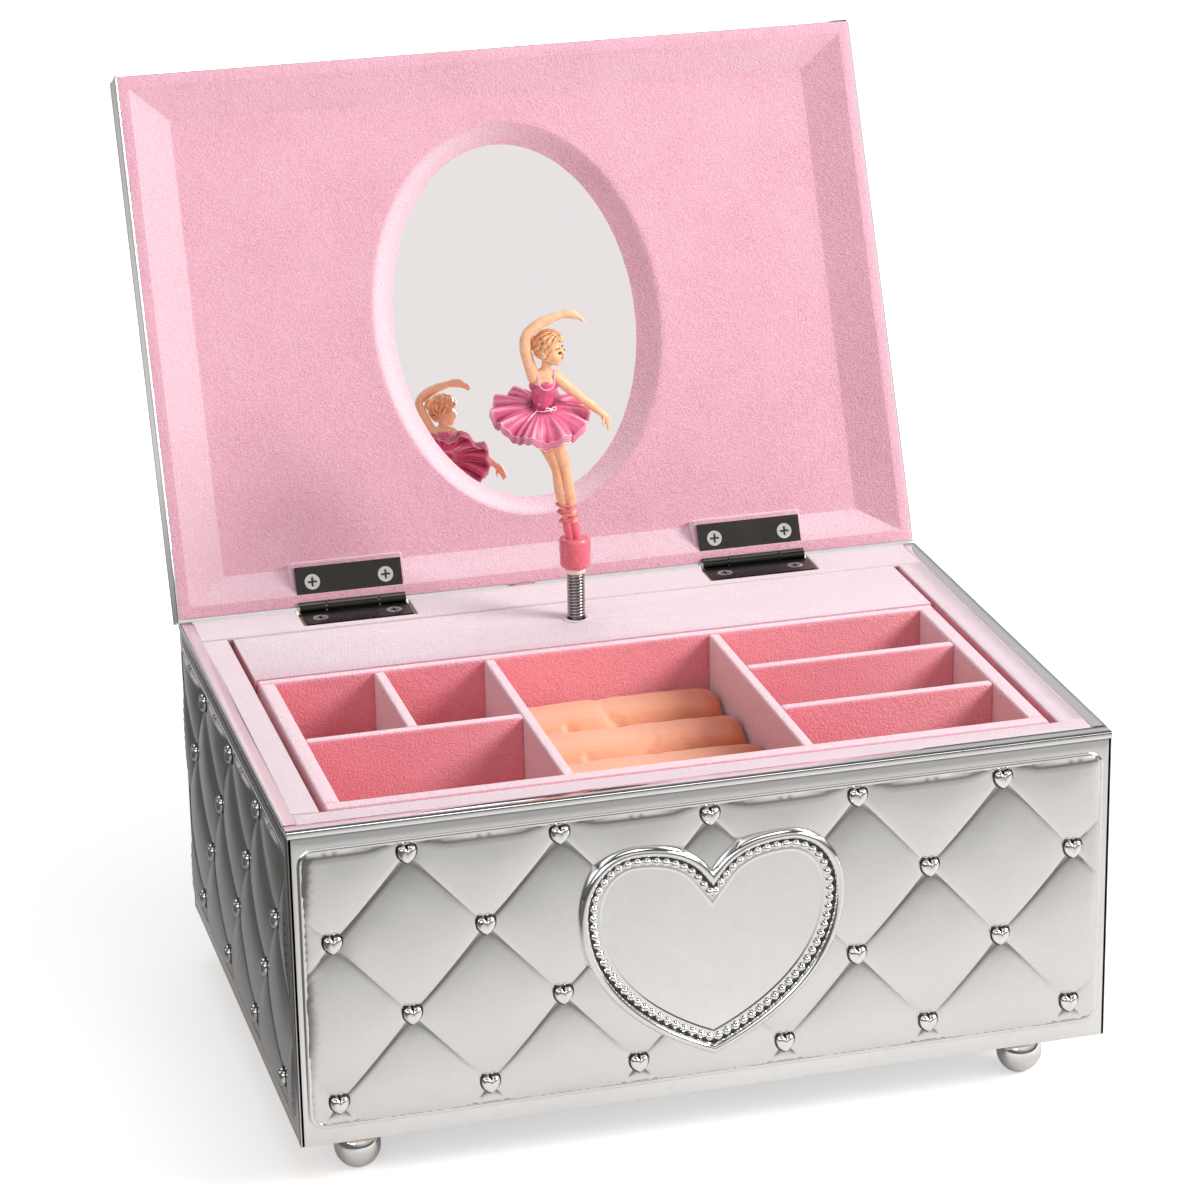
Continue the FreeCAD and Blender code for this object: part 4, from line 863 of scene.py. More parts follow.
def lid_lining():
    """The flocked inside of the lid: flat rim, mitred slope, field, and the oval slope to the mirror.

    frames holds the margin at the sides, front, back, corner radius and height of each ring, and
    ovals the two half widths and height of each oval.
    """
    half_y = (117.6 - 8.6) / 2
    frames = ((0.60, -0.40, 125.2, 0.3, 72.5), (0.34, -0.66, 125.5, 0.3, 71.75),
              (0.42, -0.58, 125.4, 0.4, 71.42), (0.80, -0.20, 125.1, 0.4, 71.33),
              (2.75, 2.05, 123.0, 0.4, 71.33), (2.85, 2.15, 122.9, 0.4, 71.34),
              (3.0, 2.3, 122.75, 0.4, 71.41), (6.0, 4.7, 120.7, 0.4, 72.85),
              (9.0, 7.1, 118.6, 0.4, 74.28), (12.0, 9.5, 116.5, 0.4, 75.71),
              (12.15, 9.62, 116.4, 0.4, 75.77), (12.4, 9.8, 116.2, 0.5, LINING_Z),
              (15.5, 12.0, 113.8, 1.5, LINING_Z))
    rings = []
    for margin, front, back, radius, z in frames:
        loop = rounded_rectangle(0.0, (front + back) / 2, HALF - margin, (back - front) / 2, radius)
        rings.append([(a, b, z) for a, b in loop])
    last = rings[-1]
    angles = [math.atan2((b - OVAL_Y) / half_y, a / (HALF - 12)) for a, b, _ in last]
    ovals = ((36.6, 48.4, LINING_Z), (35.7, 47.5, LINING_Z - 0.08), (35.0, 46.8, LINING_Z - 0.05),
             (34.5, 46.4, LINING_Z + 0.12), (33.9, 45.9, LINING_Z + 0.5), (32.4, 44.7, 77.4),
             (30.8, 43.4, 78.5), (29.8, 42.5, 79.05), (29.4, 42.1, MIRROR_Z - 0.03),
             (29.2, 41.9, MIRROR_Z + 0.3))
    inner = []
    for half_a, half_b, z in ovals:
        inner.append([(half_a * math.cos(t), OVAL_Y + half_b * math.sin(t), z) for t in angles])
    for t in (0.25, 0.5, 0.75):
        rings.append([tuple(p + (q - p) * t for p, q in zip(a, b)) for a, b in zip(last, inner[0])])
    shape = Shape()
    shape.rings(rings + inner, 0)
    for hinge in HINGE_X:
        hinge_pad(shape, hinge)
    shape.moved(lid_opened)
    make("lid_lining", shape, [VELVET], "lid", ["lid_rails", "lid_panel"], sharp=18)


def hinge_pad(shape, hinge):
    """The flat seat in the slope that carries a hinge leaf."""
    rings = []
    for grow, z in ((0.2, 75.9), (0.2, 72.75), (0.0, 72.45), (-0.35, 72.32)):
        loop = rounded_rectangle(hinge, 120.0, 13.1 + grow, 4.7 + grow, 0.6, 4, 3, 3)
        rings.append([(a, min(b, 124.9), z) for a, b in loop])
    shape.rings(rings, 0, cap_end=True)


# ---- padded ring rolls -------------------------------------------------------------------
ROLLS, ROLL_PITCH = 4, 17.3
ROLL_FIRST_Y, ROLL_TOP, ROLL_LOW = 22.05, 61.0, 45.6
ROLL_MIDDLE, ROLL_HALF, ROLL_RISE, ROLL_DROP = 53.4, 8.1, 6.9, 7.7
ROLL_X = (-25.0, 24.4)
ROLL_SIDE, ROLL_SWELL = 8.63, 0.7
SIM_SCALE, SIM_FRAMES = 20.0, 20


def roll_middle(index):
    """How far back a roll's middle is."""
    return ROLL_FIRST_Y + ROLL_PITCH * index


def roll_shape(index):
    """A roll of foam in satin: a domed top, straight sides and tucked ends."""
    middle = roll_middle(index)
    rings = []
    stations = 44
    for n in range(stations + 1):
        t = n / stations
        x = ROLL_X[0] + 0.3 + (ROLL_X[1] - ROLL_X[0] - 0.6) * t
        end = min(min(t, 1 - t) * (ROLL_X[1] - ROLL_X[0]) / 4.5, 1.0)
        full = 0.70 + 0.30 * math.sqrt(1 - (1 - end) ** 2)
        ring = []
        for angle in turns(32):
            a, b = math.cos(angle), math.sin(angle)
            up = ROLL_RISE * b * full if b > 0 else -ROLL_DROP * abs(b) ** 0.6
            a = math.copysign(abs(a) ** 0.9, a)
            ring.append((x, middle + ROLL_HALF * full * a, ROLL_MIDDLE + up))
        rings.append(ring)
    shape = Shape()
    shape.rings(rings, 0, cap_start=True, cap_end=True)
    return shape


def inflate(piece, limit):
    """Swells a pad with cloth pressure at a larger scale, then caps how far each point moved."""
    start = np.array([v.co for v in piece.data.vertices])
    centre = start.mean(0)
    scaled = (start - centre) * SIM_SCALE
    piece.data.vertices.foreach_set("co", scaled.ravel())
    group = piece.vertex_groups.new(name="sewn")
    low = scaled[:, 2].min()
    ends = (scaled[:, 0].min(), scaled[:, 0].max())
    for n, co in enumerate(scaled):
        sewn = co[2] < low + 0.05 or co[0] < ends[0] + 0.004 or co[0] > ends[1] - 0.004
        group.add([n], 1.0 if sewn else 0.0, "REPLACE")
    cloth = piece.modifiers.new("cloth", "CLOTH")
    settings = cloth.settings
    settings.quality = 6
    settings.mass = 0.2
    settings.tension_stiffness = settings.compression_stiffness = 12
    settings.bending_stiffness = 0.15
    settings.use_pressure = True
    settings.uniform_pressure_force = 4.0
    settings.shrink_min = -0.05
    settings.vertex_group_mass = "sewn"
    settings.effector_weights.gravity = 0.0
    cloth.point_cache.frame_start, cloth.point_cache.frame_end = 1, SIM_FRAMES
    scene = bpy.context.scene
    for frame_number in range(1, SIM_FRAMES + 1):
        scene.frame_set(frame_number)
    mesh = evaluated_mesh(piece)
    moved = np.zeros(len(mesh.vertices) * 3)
    mesh.vertices.foreach_get("co", moved)
    step = moved.reshape(-1, 3) / SIM_SCALE + centre - start
    length = np.linalg.norm(step, axis=1, keepdims=True)
    step *= np.minimum(1.0, limit / np.maximum(length, 1e-12))
    bpy.data.meshes.remove(mesh)
    piece.modifiers.clear()
    piece.vertex_groups.clear()
    scene.frame_set(1)
    piece.data.vertices.foreach_set("co", (start + step).ravel())
    piece.data.update()


def wrinkled(piece, index):
    """Soft folds in the satin, deeper towards the ends, kept inside the roll's own space."""
    middle = roll_middle(index)
    for vertex in piece.data.vertices:
        co = vertex.co
        x, y = co.x / MM, (co.y - FRONT) / MM
        z = (co.z - BASE) / MM
        end = min(x - ROLL_X[0], ROLL_X[1] - x)
        gather = math.exp(-max(end, 0.0) / 5.0)
        seed = Vector((x * 0.16 + index * 7.3, (y - middle) * 0.05, z * 0.05))
        fold = noise.noise(seed) * 0.22 + noise.noise(seed * 2.3) * 0.08
        pucker = gather * 0.18 * math.sin((y - middle) * 1.1 + index)
        vertex.co += vertex.normal * ((fold - 0.05 + pucker) * MM)
        co.y = FRONT + MM * min(max((co.y - FRONT) / MM, middle - ROLL_SIDE), middle + ROLL_SIDE)
        co.z = BASE + MM * min(max((co.z - BASE) / MM, ROLL_LOW), ROLL_TOP)
        co.x = MM * min(max(co.x / MM, ROLL_X[0]), ROLL_X[1])


def ring_rolls():
    """The four rolls: swollen with cloth pressure, smoothed and wrinkled."""
    for index in range(ROLLS):
        name = f"ring_roll_{index + 1}"
        piece = make(name, roll_shape(index), [SATIN], None, sharp=180)
        inflate(piece, ROLL_SWELL * MM)
        divide = piece.modifiers.new("fine", "SUBSURF")
        divide.levels = divide.render_levels = 1
        applied(piece)
        wrinkled(piece, index)
        piece.data.shade_smooth()
        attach(piece, "tray")
        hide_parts("ring_rolls")


# ---- flocked and velvet pieces -----------------------------------------------------------
def soft_pieces():
    """Velvet, flock and felt, as their CAD nodes with rounded edges."""
    softened("rim_velvet", "rim_velvet_band", VELVET, 0.35, "box")
    softened("platform_velvet", "platform_velvet_top", VELVET, 0.28, "box")
    softened("wall_lining", "box_wall_lining", FLOCK, 0.3, "box")
    softened("floor_lining", "box_floor_lining", FLOCK, 0.2, "box")
    softened("base_felt", "underside_felt", FELT, 0.2, "box")
    softened("tray_floor", "tray_floor_flocked", FLOCK, 0.3, "tray")
    for node in ("tray_wall_front", "tray_wall_back", "tray_walls_side", "tray_divider_left",
                 "tray_divider_right", "tray_cross_dividers"):
        softened(node, node + "_flocked", TRAY_PILE, 0.5, "tray")


# ---- dancer ------------------------------------------------------------------------------
SPINDLE = (-1.2, 102.0)
BODY_Y = 98.0
FACE_TO = Vector((0.83, -0.55, -0.06)).normalized()
FACE_SIDE = Vector((0.55, 0.83, 0.0)).normalized()
HEAD = Vector((-7.2, 98.0, 137.1))


def tube(path, radius, sides=8, closed=False):
    """Rings of a tube along a path, whose radius may be one number or one for each point."""
    rings = []
    count = len(path)
    side = None
    for n, point in enumerate(path):
        before = path[n - 1] if closed or n else path[0]
        after = path[(n + 1) % count] if closed or n < count - 1 else path[-1]
        along = (Vector(after) - Vector(before)).normalized()
        if side is None:
            side = along.cross(Vector((0.3, 0.2, 1))).normalized()
        side = (side - along * side.dot(along)).normalized()
        up = along.cross(side)
        r = radius[n] if isinstance(radius, (list, tuple)) else radius
        rings.append([tuple(Vector(point) + (side * math.cos(angle) + up * math.sin(angle)) * r)
                      for angle in turns(sides)])
    return rings


def catmull(points, per=10):
    """A smooth line through points of any size."""
    data = [np.array(p, float) for p in points]
    data = [2 * data[0] - data[1]] + data + [2 * data[-1] - data[-2]]
    line = []
    for n in range(1, len(data) - 2):
        a, b, c, d = data[n - 1:n + 3]
        for k in range(per):
            t = k / per
            line.append(0.5 * (2 * b + (c - a) * t + (2 * a - 5 * b + 4 * c - d) * t * t
                               + (3 * b - a - 3 * c + d) * t ** 3))
    line.append(data[-2])
    return [tuple(p) for p in line]


SPRING_LOW, SPRING_HIGH = 71.0, 82.0
SPRING_TURNS, SPRING_RADIUS, WIRE_RADIUS = 14, 1.74, 0.355


def dancer_spring():
    """The close-wound spring."""
    path = []
    steps = SPRING_TURNS * 20
    for n in range(steps + 1):
        angle = 2 * math.pi * n / 20
        z = SPRING_LOW + 0.37 + (SPRING_HIGH - SPRING_LOW - 0.74) * n / steps
        path.append((SPINDLE[0] + SPRING_RADIUS * math.cos(angle),
                     SPINDLE[1] + SPRING_RADIUS * math.sin(angle), z))
    shape = Shape()
    shape.wire(path, WIRE_RADIUS)
    piece = make("close_wound_spring", shape, [SPRING], None, ["dancer_spring"], sharp=180)
    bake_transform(piece)


def lathe(profile):
    """A solid turned round the spindle's axis, from (radius, height) points."""
    rings = []
    for r, z in profile:
        rings.append([(SPINDLE[0] + r * math.cos(angle), SPINDLE[1] + r * math.sin(angle), z)
                      for angle in turns(40)])
    shape = Shape()
    shape.rings(rings, 0, cap_start=True, cap_end=True)
    return shape


def turned_pieces():
    """The pile turned in round the spring's hole, the ferrule, and the collar that holds the feet."""
    pile = lathe(((2.2, 70.6), (2.2, 70.98), (2.35, 71.06), (2.8, 71.08), (3.4, 71.05), (3.6, 70.9),
                  (3.6, 70.6)))
    make("spring_hole_pile", pile, [VELVET], "box", sharp=180)
    ferrule = lathe(((1.45, 79.0), (1.45, 82.0), (2.2, 82.02), (2.3, 82.2), (2.3, 83.2), (2.2, 83.4),
                     (0.95, 83.42), (0.95, 87.0)))
    make("ferrule_ring", ferrule, [PALE], "dancer_mount", ["spring_ferrule"])
    cup = lathe(((1.1, 83.5), (2.8, 83.5), (3.2, 83.62), (3.45, 84.0), (3.5, 84.5), (3.6, 89.4),
                 (3.55, 90.0), (3.3, 90.4), (2.9, 90.55), (2.4, 90.4), (1.6, 90.5), (0.4, 90.55)))
    make("dancer_cup", cup, [CORAL], "dancer", ["dancer_collar"])


def organic(name, chains, finish, replaced=(), voxel=0.2, rounds=6):
    """One smooth body from chains of (x, y, z, radius) points.

    voxel is the size in millimetres of the grid that it is skinned on, and rounds how often it is
    smoothed afterwards.
    """
    edit = bmesh.new()
    for chain in chains:
        last = None
        for x, y, z, r in catmull(chain, 14):
            if last is not None and (Vector((x, y, z)) - last[0]).length < 0.22 * min(r, last[1]):
                continue
            last = (Vector((x, y, z)), r)
            bmesh.ops.create_icosphere(edit, subdivisions=2, radius=r,
                                       matrix=Matrix.Translation((x, y, z)))
    mesh = bpy.data.meshes.new(name)
    edit.to_mesh(mesh)
    edit.free()
    piece = linked_object(name, mesh)
    remesh = piece.modifiers.new("skin", "REMESH")
    remesh.mode = "VOXEL"
    remesh.voxel_size = voxel
    smooth = piece.modifiers.new("soft", "SMOOTH")
    smooth.factor, smooth.iterations = 0.5, rounds
    applied(piece)
    for vertex in piece.data.vertices:
        vertex.co = place(vertex.co)
    piece.data.materials.clear()
    piece.data.materials.append(finish)
    piece.data.shade_smooth()
    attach(piece, "dancer")
    if replaced:
        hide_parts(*replaced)


def dancer_legs():
    """Legs, the brief that joins them, and shoes with ribbons crossed over the ankles."""
    left = [(-2.5, 101.3, 90.4, 0.62), (-2.7, 101.3, 92.6, 0.85), (-3.2, 101.0, 94.8, 0.95),
            (-3.7, 100.7, 97.2, 0.95), (-4.5, 100.2, 101.4, 1.5), (-5.1, 99.6, 104.6, 1.5),
            (-5.8, 99.1, 108.0, 1.3), (-6.8, 98.6, 111.6, 1.85), (-8.7, 98.0, 116.2, 2.3),
            (-9.2, 98.0, 119.0, 2.2)]
    right = [(-0.9, 101.3, 90.4, 0.62), (-1.2, 101.2, 92.6, 0.85), (-1.7, 100.8, 94.8, 0.95),
             (-2.2, 100.4, 97.2, 0.95), (-2.8, 99.8, 101.4, 1.45), (-3.4, 99.2, 104.6, 1.5),
             (-4.0, 98.7, 108.0, 1.3), (-5.0, 98.3, 111.6, 1.85), (-6.9, 98.0, 116.2, 2.3),
             (-8.0, 98.0, 119.0, 2.2)]
    organic("dancer_legs_skin", [left, right], SKIN, ["dancer_legs"])
    brief = [(-8.0, 98.0, 117.0, 3.0), (-8.9, 98.0, 119.6, 2.9), (-9.4, 98.0, 122.2, 2.2)]
    organic("dancer_brief", [brief], BODICE)
    shoes = Shape()
    for x, y in ((-2.75, 101.3), (-1.25, 101.2)):
        line = catmull([(x + 0.2, y, 90.5), (x, y - 0.1, 92.0), (x - 0.3, y - 0.2, 93.6),
                        (x - 0.5, y - 0.4, 94.9)], 5)
        last = len(line)
        radii = [0.8 + 0.35 * math.sin(math.pi * min(n / last, 1) * 0.8) for n in range(last)]
        shoes.wire(line, radii, 12)
    lowest = 95.6
    for height, tilt, reach in ((lowest, 0.5, 1.0), (96.7, -0.5, 1.0), (97.9, 0.45, 1.03),
                                (99.1, -0.25, 1.1)):
        x = -2.85 - (height - lowest) * 0.18
        y = 100.8 - (height - lowest) * 0.14
        loop = [(x + 2.0 * reach * math.cos(angle), y + 1.25 * reach * math.sin(angle),
                 height + tilt * math.cos(angle)) for angle in turns(28)]
        shoes.wire(loop, 0.3, closed=True)
    make("dancer_shoes_ribbons", shoes, [CORAL], "dancer", sharp=80)


def dancer_bodice():
    """The bodice, its straps and neckline, and the sash at the waist."""
    torso = [(-9.4, 98.0, 121.6, 2.15), (-9.2, 98.0, 123.6, 2.2), (-8.9, 98.0, 126.2, 2.75),
             (-8.6, 97.9, 128.2, 2.85)]
    chest = [(-10.0, 97.2, 127.6, 1.7), (-7.6, 96.8, 127.5, 1.7)]
    side = [(-10.6, 98.0, 128.6, 1.5), (-8.5, 98.1, 128.9, 1.8), (-6.6, 98.0, 128.5, 1.5)]
    organic("dancer_bodice_top", [torso, chest, side], BODICE, ["dancer_bodice"])
    straps = Shape()
    for strap in (((-10.3, 96.0, 129.2), (-10.2, 97.6, 131.9), (-10.1, 99.9, 129.2)),
                  ((-6.9, 95.8, 129.0), (-6.4, 97.4, 131.7), (-7.0, 99.9, 129.2))):
        straps.wire(catmull(strap, 8), 0.3)
    neckline = [(-10.3, 96.0, 129.3), (-9.6, 95.5, 128.4), (-8.5, 95.2, 128.1), (-7.5, 95.4, 128.4),
                (-6.9, 95.8, 129.1)]
    straps.wire(catmull(neckline, 6), 0.22)
    sash = 2.45
    waist = [(-9.45 + sash * math.cos(angle), BODY_Y + sash * math.sin(angle),
              123.5 + 0.35 * math.sin(angle)) for angle in turns(36)]
    straps.wire(waist, 0.34, closed=True)
    make("dancer_straps_sash", straps, [BODICE], "dancer", sharp=80)


KNOT = Vector((-7.7, 95.9, 123.4))
BOW_SIZE = 0.72


def dancer_bow():
    """Two loops, two tails and a knot at the waist, drawn large and then brought to size."""
    bow = Shape()
    for sign, sag in ((1, 0.2), (-1, 0.1)):
        loop = []
        for angle in turns(16):
            out = 0.85 + 0.8 * math.cos(angle)
            loop.append(Vector((sign * out, -0.35 + 0.1 * sign, 0.5 * math.sin(angle) * out + sag)))
        bow.wire([tuple(KNOT + point) for point in loop], 0.24, 6, closed=True)
        tail = (Vector(), Vector((0.3 * sign, -0.6, -0.9)), Vector((0.9 * sign, -1.0, -1.9)))
        bow.wire(catmull([KNOT + point for point in tail], 5), 0.22, 6)
    heights = (-0.4, -0.2, 0.1, 0.4)
    bow.wire([tuple(KNOT + Vector((0, -0.25, z))) for z in heights], [0.2, 0.45, 0.45, 0.2])
    bow.moved(lambda p: tuple(KNOT + (Vector(p) - KNOT) * BOW_SIZE))
    make("dancer_bow", bow, [BOW], "dancer", sharp=80)


# Lumps of the head, as pairs of head_point's measures with a radius.
HEAD_LUMPS = (
    ((-0.4, 0, 0.5, 3.15), (0.1, 0, 0.3, 3.2)),
    ((0.4, 0, -0.9, 2.75), (0.8, 0, -1.4, 2.45)),
    ((1.1, 0, -2.2, 1.8), (1.7, 0, -2.95, 1.05)),
    ((2.9, 0, -0.2, 0.45), (3.45, 0, -1.1, 0.42)),
    ((1.7, 1.2, -1.5, 1.25), (1.8, 1.0, -1.7, 1.2)),
    ((1.7, -1.2, -1.5, 1.25), (1.8, -1.0, -1.7, 1.2)),
    ((2.35, 0, -2.1, 0.75), (2.4, 0, -2.3, 0.7)),
    ((-0.2, 3.0, -1.2, 0.6), (-0.3, 3.05, -0.5, 0.6)),
    ((-0.2, -3.0, -1.2, 0.6), (-0.3, -3.05, -0.5, 0.6)),
)


def head_point(out, side, up):
    """A place on the head, measured from its middle towards the face, across it and up."""
    return tuple(HEAD + FACE_TO * out + FACE_SIDE * side + Vector((0, 0, up)))


def dancer_skin():
    """Neck, shoulders, one raised and one lowered arm, hands and head."""
    neck = [(-8.4, 98.1, 129.6, 2.1), (-8.3, 98.1, 131.0, 1.5), (-8.0, 98.1, 132.6, 1.15),
            (-7.7, 98.1, 134.4, 1.2)]
    shoulders = [(-10.9, 98.0, 130.7, 1.3), (-8.4, 98.1, 130.9, 1.6), (-5.8, 98.0, 130.4, 1.3)]
    chest = [(-9.6, 97.3, 129.4, 1.6), (-7.6, 97.1, 129.3, 1.6)]
    raised = [(-10.9, 98.0, 130.5, 1.5), (-11.8, 98.0, 133.6, 1.42), (-12.7, 98.0, 137.4, 1.35),
              (-12.4, 98.0, 140.2, 1.25), (-10.2, 98.0, 142.2, 1.3), (-7.2, 98.0, 143.6, 1.15),
              (-4.2, 98.0, 144.4, 0.85)]
    palm_up = [raised[-1], (-2.4, 98.0, 144.5, 1.12), (-1.0, 98.0, 144.0, 1.0)]
    low = [(-5.8, 98.0, 130.2, 1.45), (-3.4, 97.2, 127.9, 1.32), (-0.9, 96.0, 125.7, 1.12),
           (1.6, 95.5, 123.6, 1.1), (3.8, 95.1, 121.6, 0.75)]
    palm_low = [low[-1], (4.7, 95.0, 120.5, 0.95), (5.0, 95.0, 119.6, 0.8)]
    fingers = []
    for apart in (-0.5, 0.0, 0.5):
        y, bent = 98.0 + apart, 143.5 - abs(apart) * 0.3
        fingers.append([(-1.2, y, 144.1, 0.55), (-0.1, y, bent, 0.5), (0.6, 98.0 + apart * 1.2, 142.7, 0.42)])
        x, y = apart * 0.5, 95.0 + apart
        fingers.append([(4.9 + x, y, 119.9, 0.4), (5.3 + x, y, 118.6, 0.33), (5.4 + x, y, 117.7, 0.26)])
    fingers.append([(4.3, 94.7, 121.0, 0.36), (3.9, 94.2, 119.8, 0.3), (4.0, 94.0, 119.0, 0.24)])
    head = [[(*head_point(*lump[:3]), lump[3]) for lump in pair] for pair in HEAD_LUMPS]
    chains = [neck, shoulders, chest, raised, palm_up, low, palm_low] + fingers + head
    organic("dancer_head_arms_skin", chains, SKIN, ["dancer_head_arms"], voxel=0.16,
            rounds=4)


def face_paint():
    """Painted eyes, brows and mouth, as small pieces set in the face."""
    paint, mouth = Shape(), Shape()
    for side in (-1.12, 1.12):
        drop(paint, head_point(2.95, side, -0.55), (0.42, 0.42, 0.30))
        brow = [head_point(2.75, side * 0.5, 0.28), head_point(2.85, side * 1.0, 0.5),
                head_point(2.35, side * 1.65, 0.3)]
        paint.wire(catmull(brow, 5), 0.11, 6)
    make("dancer_eyes", paint, [EYE], "dancer", sharp=180)
    drop(mouth, head_point(3.0, 0, -2.0), (0.42, 0.42, 0.2))
    make("dancer_mouth", mouth, [LIP], "dancer", sharp=180)


def drop(shape, centre, radii):
    """A small rounded blob."""
    rings = []
    for n in range(1, 8):
        lift = math.pi * n / 8
        wide = math.sin(lift)
        rings.append([(centre[0] + radii[0] * wide * math.cos(angle),
                       centre[1] + radii[1] * wide * math.sin(angle),
                       centre[2] - radii[2] * math.cos(lift)) for angle in turns(12)])
    shape.rings(rings, 0, cap_start=True, cap_end=True)


HAIR_OPENING = (FACE_TO * 0.86 + Vector((0, 0, -0.51))).normalized()
HAIR_PARTING = (-FACE_TO * 0.55 + Vector((0, 0, 0.83))).normalized()
BUN_RADIUS = 1.6


def sphere(subdivisions):
    """Directions all round, and the faces that join them."""
    edit = bmesh.new()
    bmesh.ops.create_icosphere(edit, subdivisions=subdivisions, radius=1.0)
    edit.verts.index_update()
    ways = [vertex.co.normalized() for vertex in edit.verts]
    faces = [[v.index for v in face.verts] for face in edit.faces]
    edit.free()
    return ways, faces


def hair_reach(way):
    """How far the combed hair stands out in a direction, sunk in the head at the face and nape."""
    from_face = math.degrees(way.angle(HAIR_OPENING))
    from_nape = math.degrees(way.angle(Vector((0, 0, -1))))
    around = math.atan2(way.dot(FACE_SIDE), way.dot(HAIR_OPENING))
    out = math.degrees(way.angle(HAIR_PARTING))
    strands = math.sin(around * 13 + out * 0.05 + 1.6 * noise.noise(way * 2.5)) * 0.09
    strands += 0.22 * noise.noise(way * 4.0) * min(out / 60, 1)
    fringe = 60 + 6 * math.sin(around * 7) + 5 * noise.noise(way * 3)
    cover = smoothstep(fringe - 5, fringe + 5, from_face) * smoothstep(32, 46, from_nape)
    return 2.7 + cover * (1.0 + strands)


def bun_reach(way):
    """How far the bun stands out in a direction, with a swirl combed into it."""
    return BUN_RADIUS + 0.10 * math.sin(math.atan2(way.y, way.x) * 4 + way.z * 5)


def dancer_hair():
    """A cap of combed hair with a bun, open at the face and nape."""
    shape = Shape()
    for reach, offset, subdivisions in ((hair_reach, (0.0, 0.3, 0.35), 6), (bun_reach, (-2.9, 1.6, 0.9), 4)):
        ways, faces = sphere(subdivisions)
        centre = HEAD + Vector(offset)
        shape.add([centre + way * reach(way) for way in ways], faces)
    make("dancer_hair_bun", shape, [HAIR], "dancer", ["dancer_hair"], sharp=180)


TUTU_TILT = math.radians(24)
TUTU_CENTRE = Vector((-9.5, BODY_Y, 123.0))


def tutu_point(angle, share, up, grow=0.0):
    """A point of the skirt: share 0 at the waist and 1 at the hem, on the skirt's tilted plane."""
    pleat = math.cos(10 * angle + 0.9 * math.sin(2 * angle + 0.6) + 0.5)
    fine = math.cos(30 * angle + 1.5 * math.sin(3 * angle))
    hem = share ** 2
    half_x = 2.3 + (10.9 - 2.3) * share
    half_y = 2.3 + (9.0 - 2.3) * share
    reach = 1 + 0.05 * pleat * hem + grow
    wave = (0.85 * pleat + 0.16 * fine) * hem + 0.2 * pleat * share + 0.1 * fine * share
    left_lift = 1.3 * hem * smoothstep(0.2, 1.0, -math.cos(angle))
    fall = 1.1 - 0.8 * share - 1.9 * share ** 3 + left_lift
    x, y, z = half_x * math.cos(angle) * reach, half_y * math.sin(angle) * reach, fall + wave + up
    cos, sin = math.cos(TUTU_TILT), math.sin(TUTU_TILT)
    return tuple(TUTU_CENTRE + Vector((x, y * cos - z * sin, y * sin + z * cos)))


def dancer_tutu():
    """The pleated skirt, with four layers showing at its hem."""
    rows = [(0.0, 0.6, 0.0), (0.0, 0.2, 0.0)]
    rows += [(share, 0.0, 0.0) for share in (0.08, 0.2, 0.34, 0.48, 0.62, 0.75, 0.86, 0.94)]
    for layer in range(4):
        low = -0.62 * layer
        rows += [(0.97, low - 0.02, 0.0), (1.0, low - 0.06, 0.012), (1.0, low - 0.2, 0.018),
                 (0.99, low - 0.32, 0.0), (0.95, low - 0.42, 0.0)]
    rows += [(share, -0.9 - 1.0 * share, 0.0) for share in (0.9, 0.75, 0.55, 0.35, 0.15, 0.0)]
    rings = []
    for row in rows:
        rings.append([tutu_point(angle, *row) for angle in turns(208)])
    shape = Shape()
    shape.rings(rings, 0, loop=True)
    make("dancer_tutu_pleats", shape, [NET], "dancer", ["dancer_tutu"], sharp=70)


# ---- studio ------------------------------------------------------------------------------
FLOOR_REACH, FLOOR_STEPS = 9.0, 24
FLOOR_LEVEL = CAD_BOX[0][2] - 0.0002
FLOOR_GLOW = 0.42
LIT_POINT = Vector((0.0, 0.0, 0.06))


def area_light(name, centre, size, power, colour=(1, 1, 1)):
    """A rectangular lamp that points at the box."""
    light = bpy.data.lights.new(name, "AREA")
    light.shape, light.size, light.size_y = "RECTANGLE", size[0], size[1]
    light.energy, light.color = power, colour
    lamp = linked_object(name, light)
    lamp.location = centre
    lamp.rotation_euler = (LIT_POINT - Vector(centre)).to_track_quat("-Z", "Y").to_euler()


def studio():
    """The floor, the sky and three lamps, with the table that reflections see."""
    floor = bpy.data.meshes.new("studio_floor")
    marks = [(n / FLOOR_STEPS * 2 - 1) * FLOOR_REACH for n in range(FLOOR_STEPS + 1)]
    faces = []
    for i in range(FLOOR_STEPS):
        for j in range(FLOOR_STEPS):
            k = i * (FLOOR_STEPS + 1) + j
            faces.append((k, k + FLOOR_STEPS + 1, k + FLOOR_STEPS + 2, k + 1))
    floor.from_pydata([(x, y, FLOOR_LEVEL) for x in marks for y in marks], [], faces)
    shader = FLOOR.node_tree.nodes["Principled BSDF"]
    shader.inputs["Emission Color"].default_value = (1.0, 1.0, 1.0, 1)
    shader.inputs["Emission Strength"].default_value = FLOOR_GLOW
    floor.materials.append(FLOOR)
    ground = linked_object("studio_floor", floor)
    ground.visible_glossy = False
    sky()
    area_light("key", (1.15, -0.75, 0.95), (0.6, 0.6), 24.0, (1.0, 0.985, 0.965))
    area_light("fill", (-0.9, -0.9, 0.8), (1.0, 0.8), 4.0, (0.95, 0.97, 1.0))
    area_light("top", (0.1, 0.2, 1.5), (1.0, 1.0), 9.0)
    reflected_table(floor)


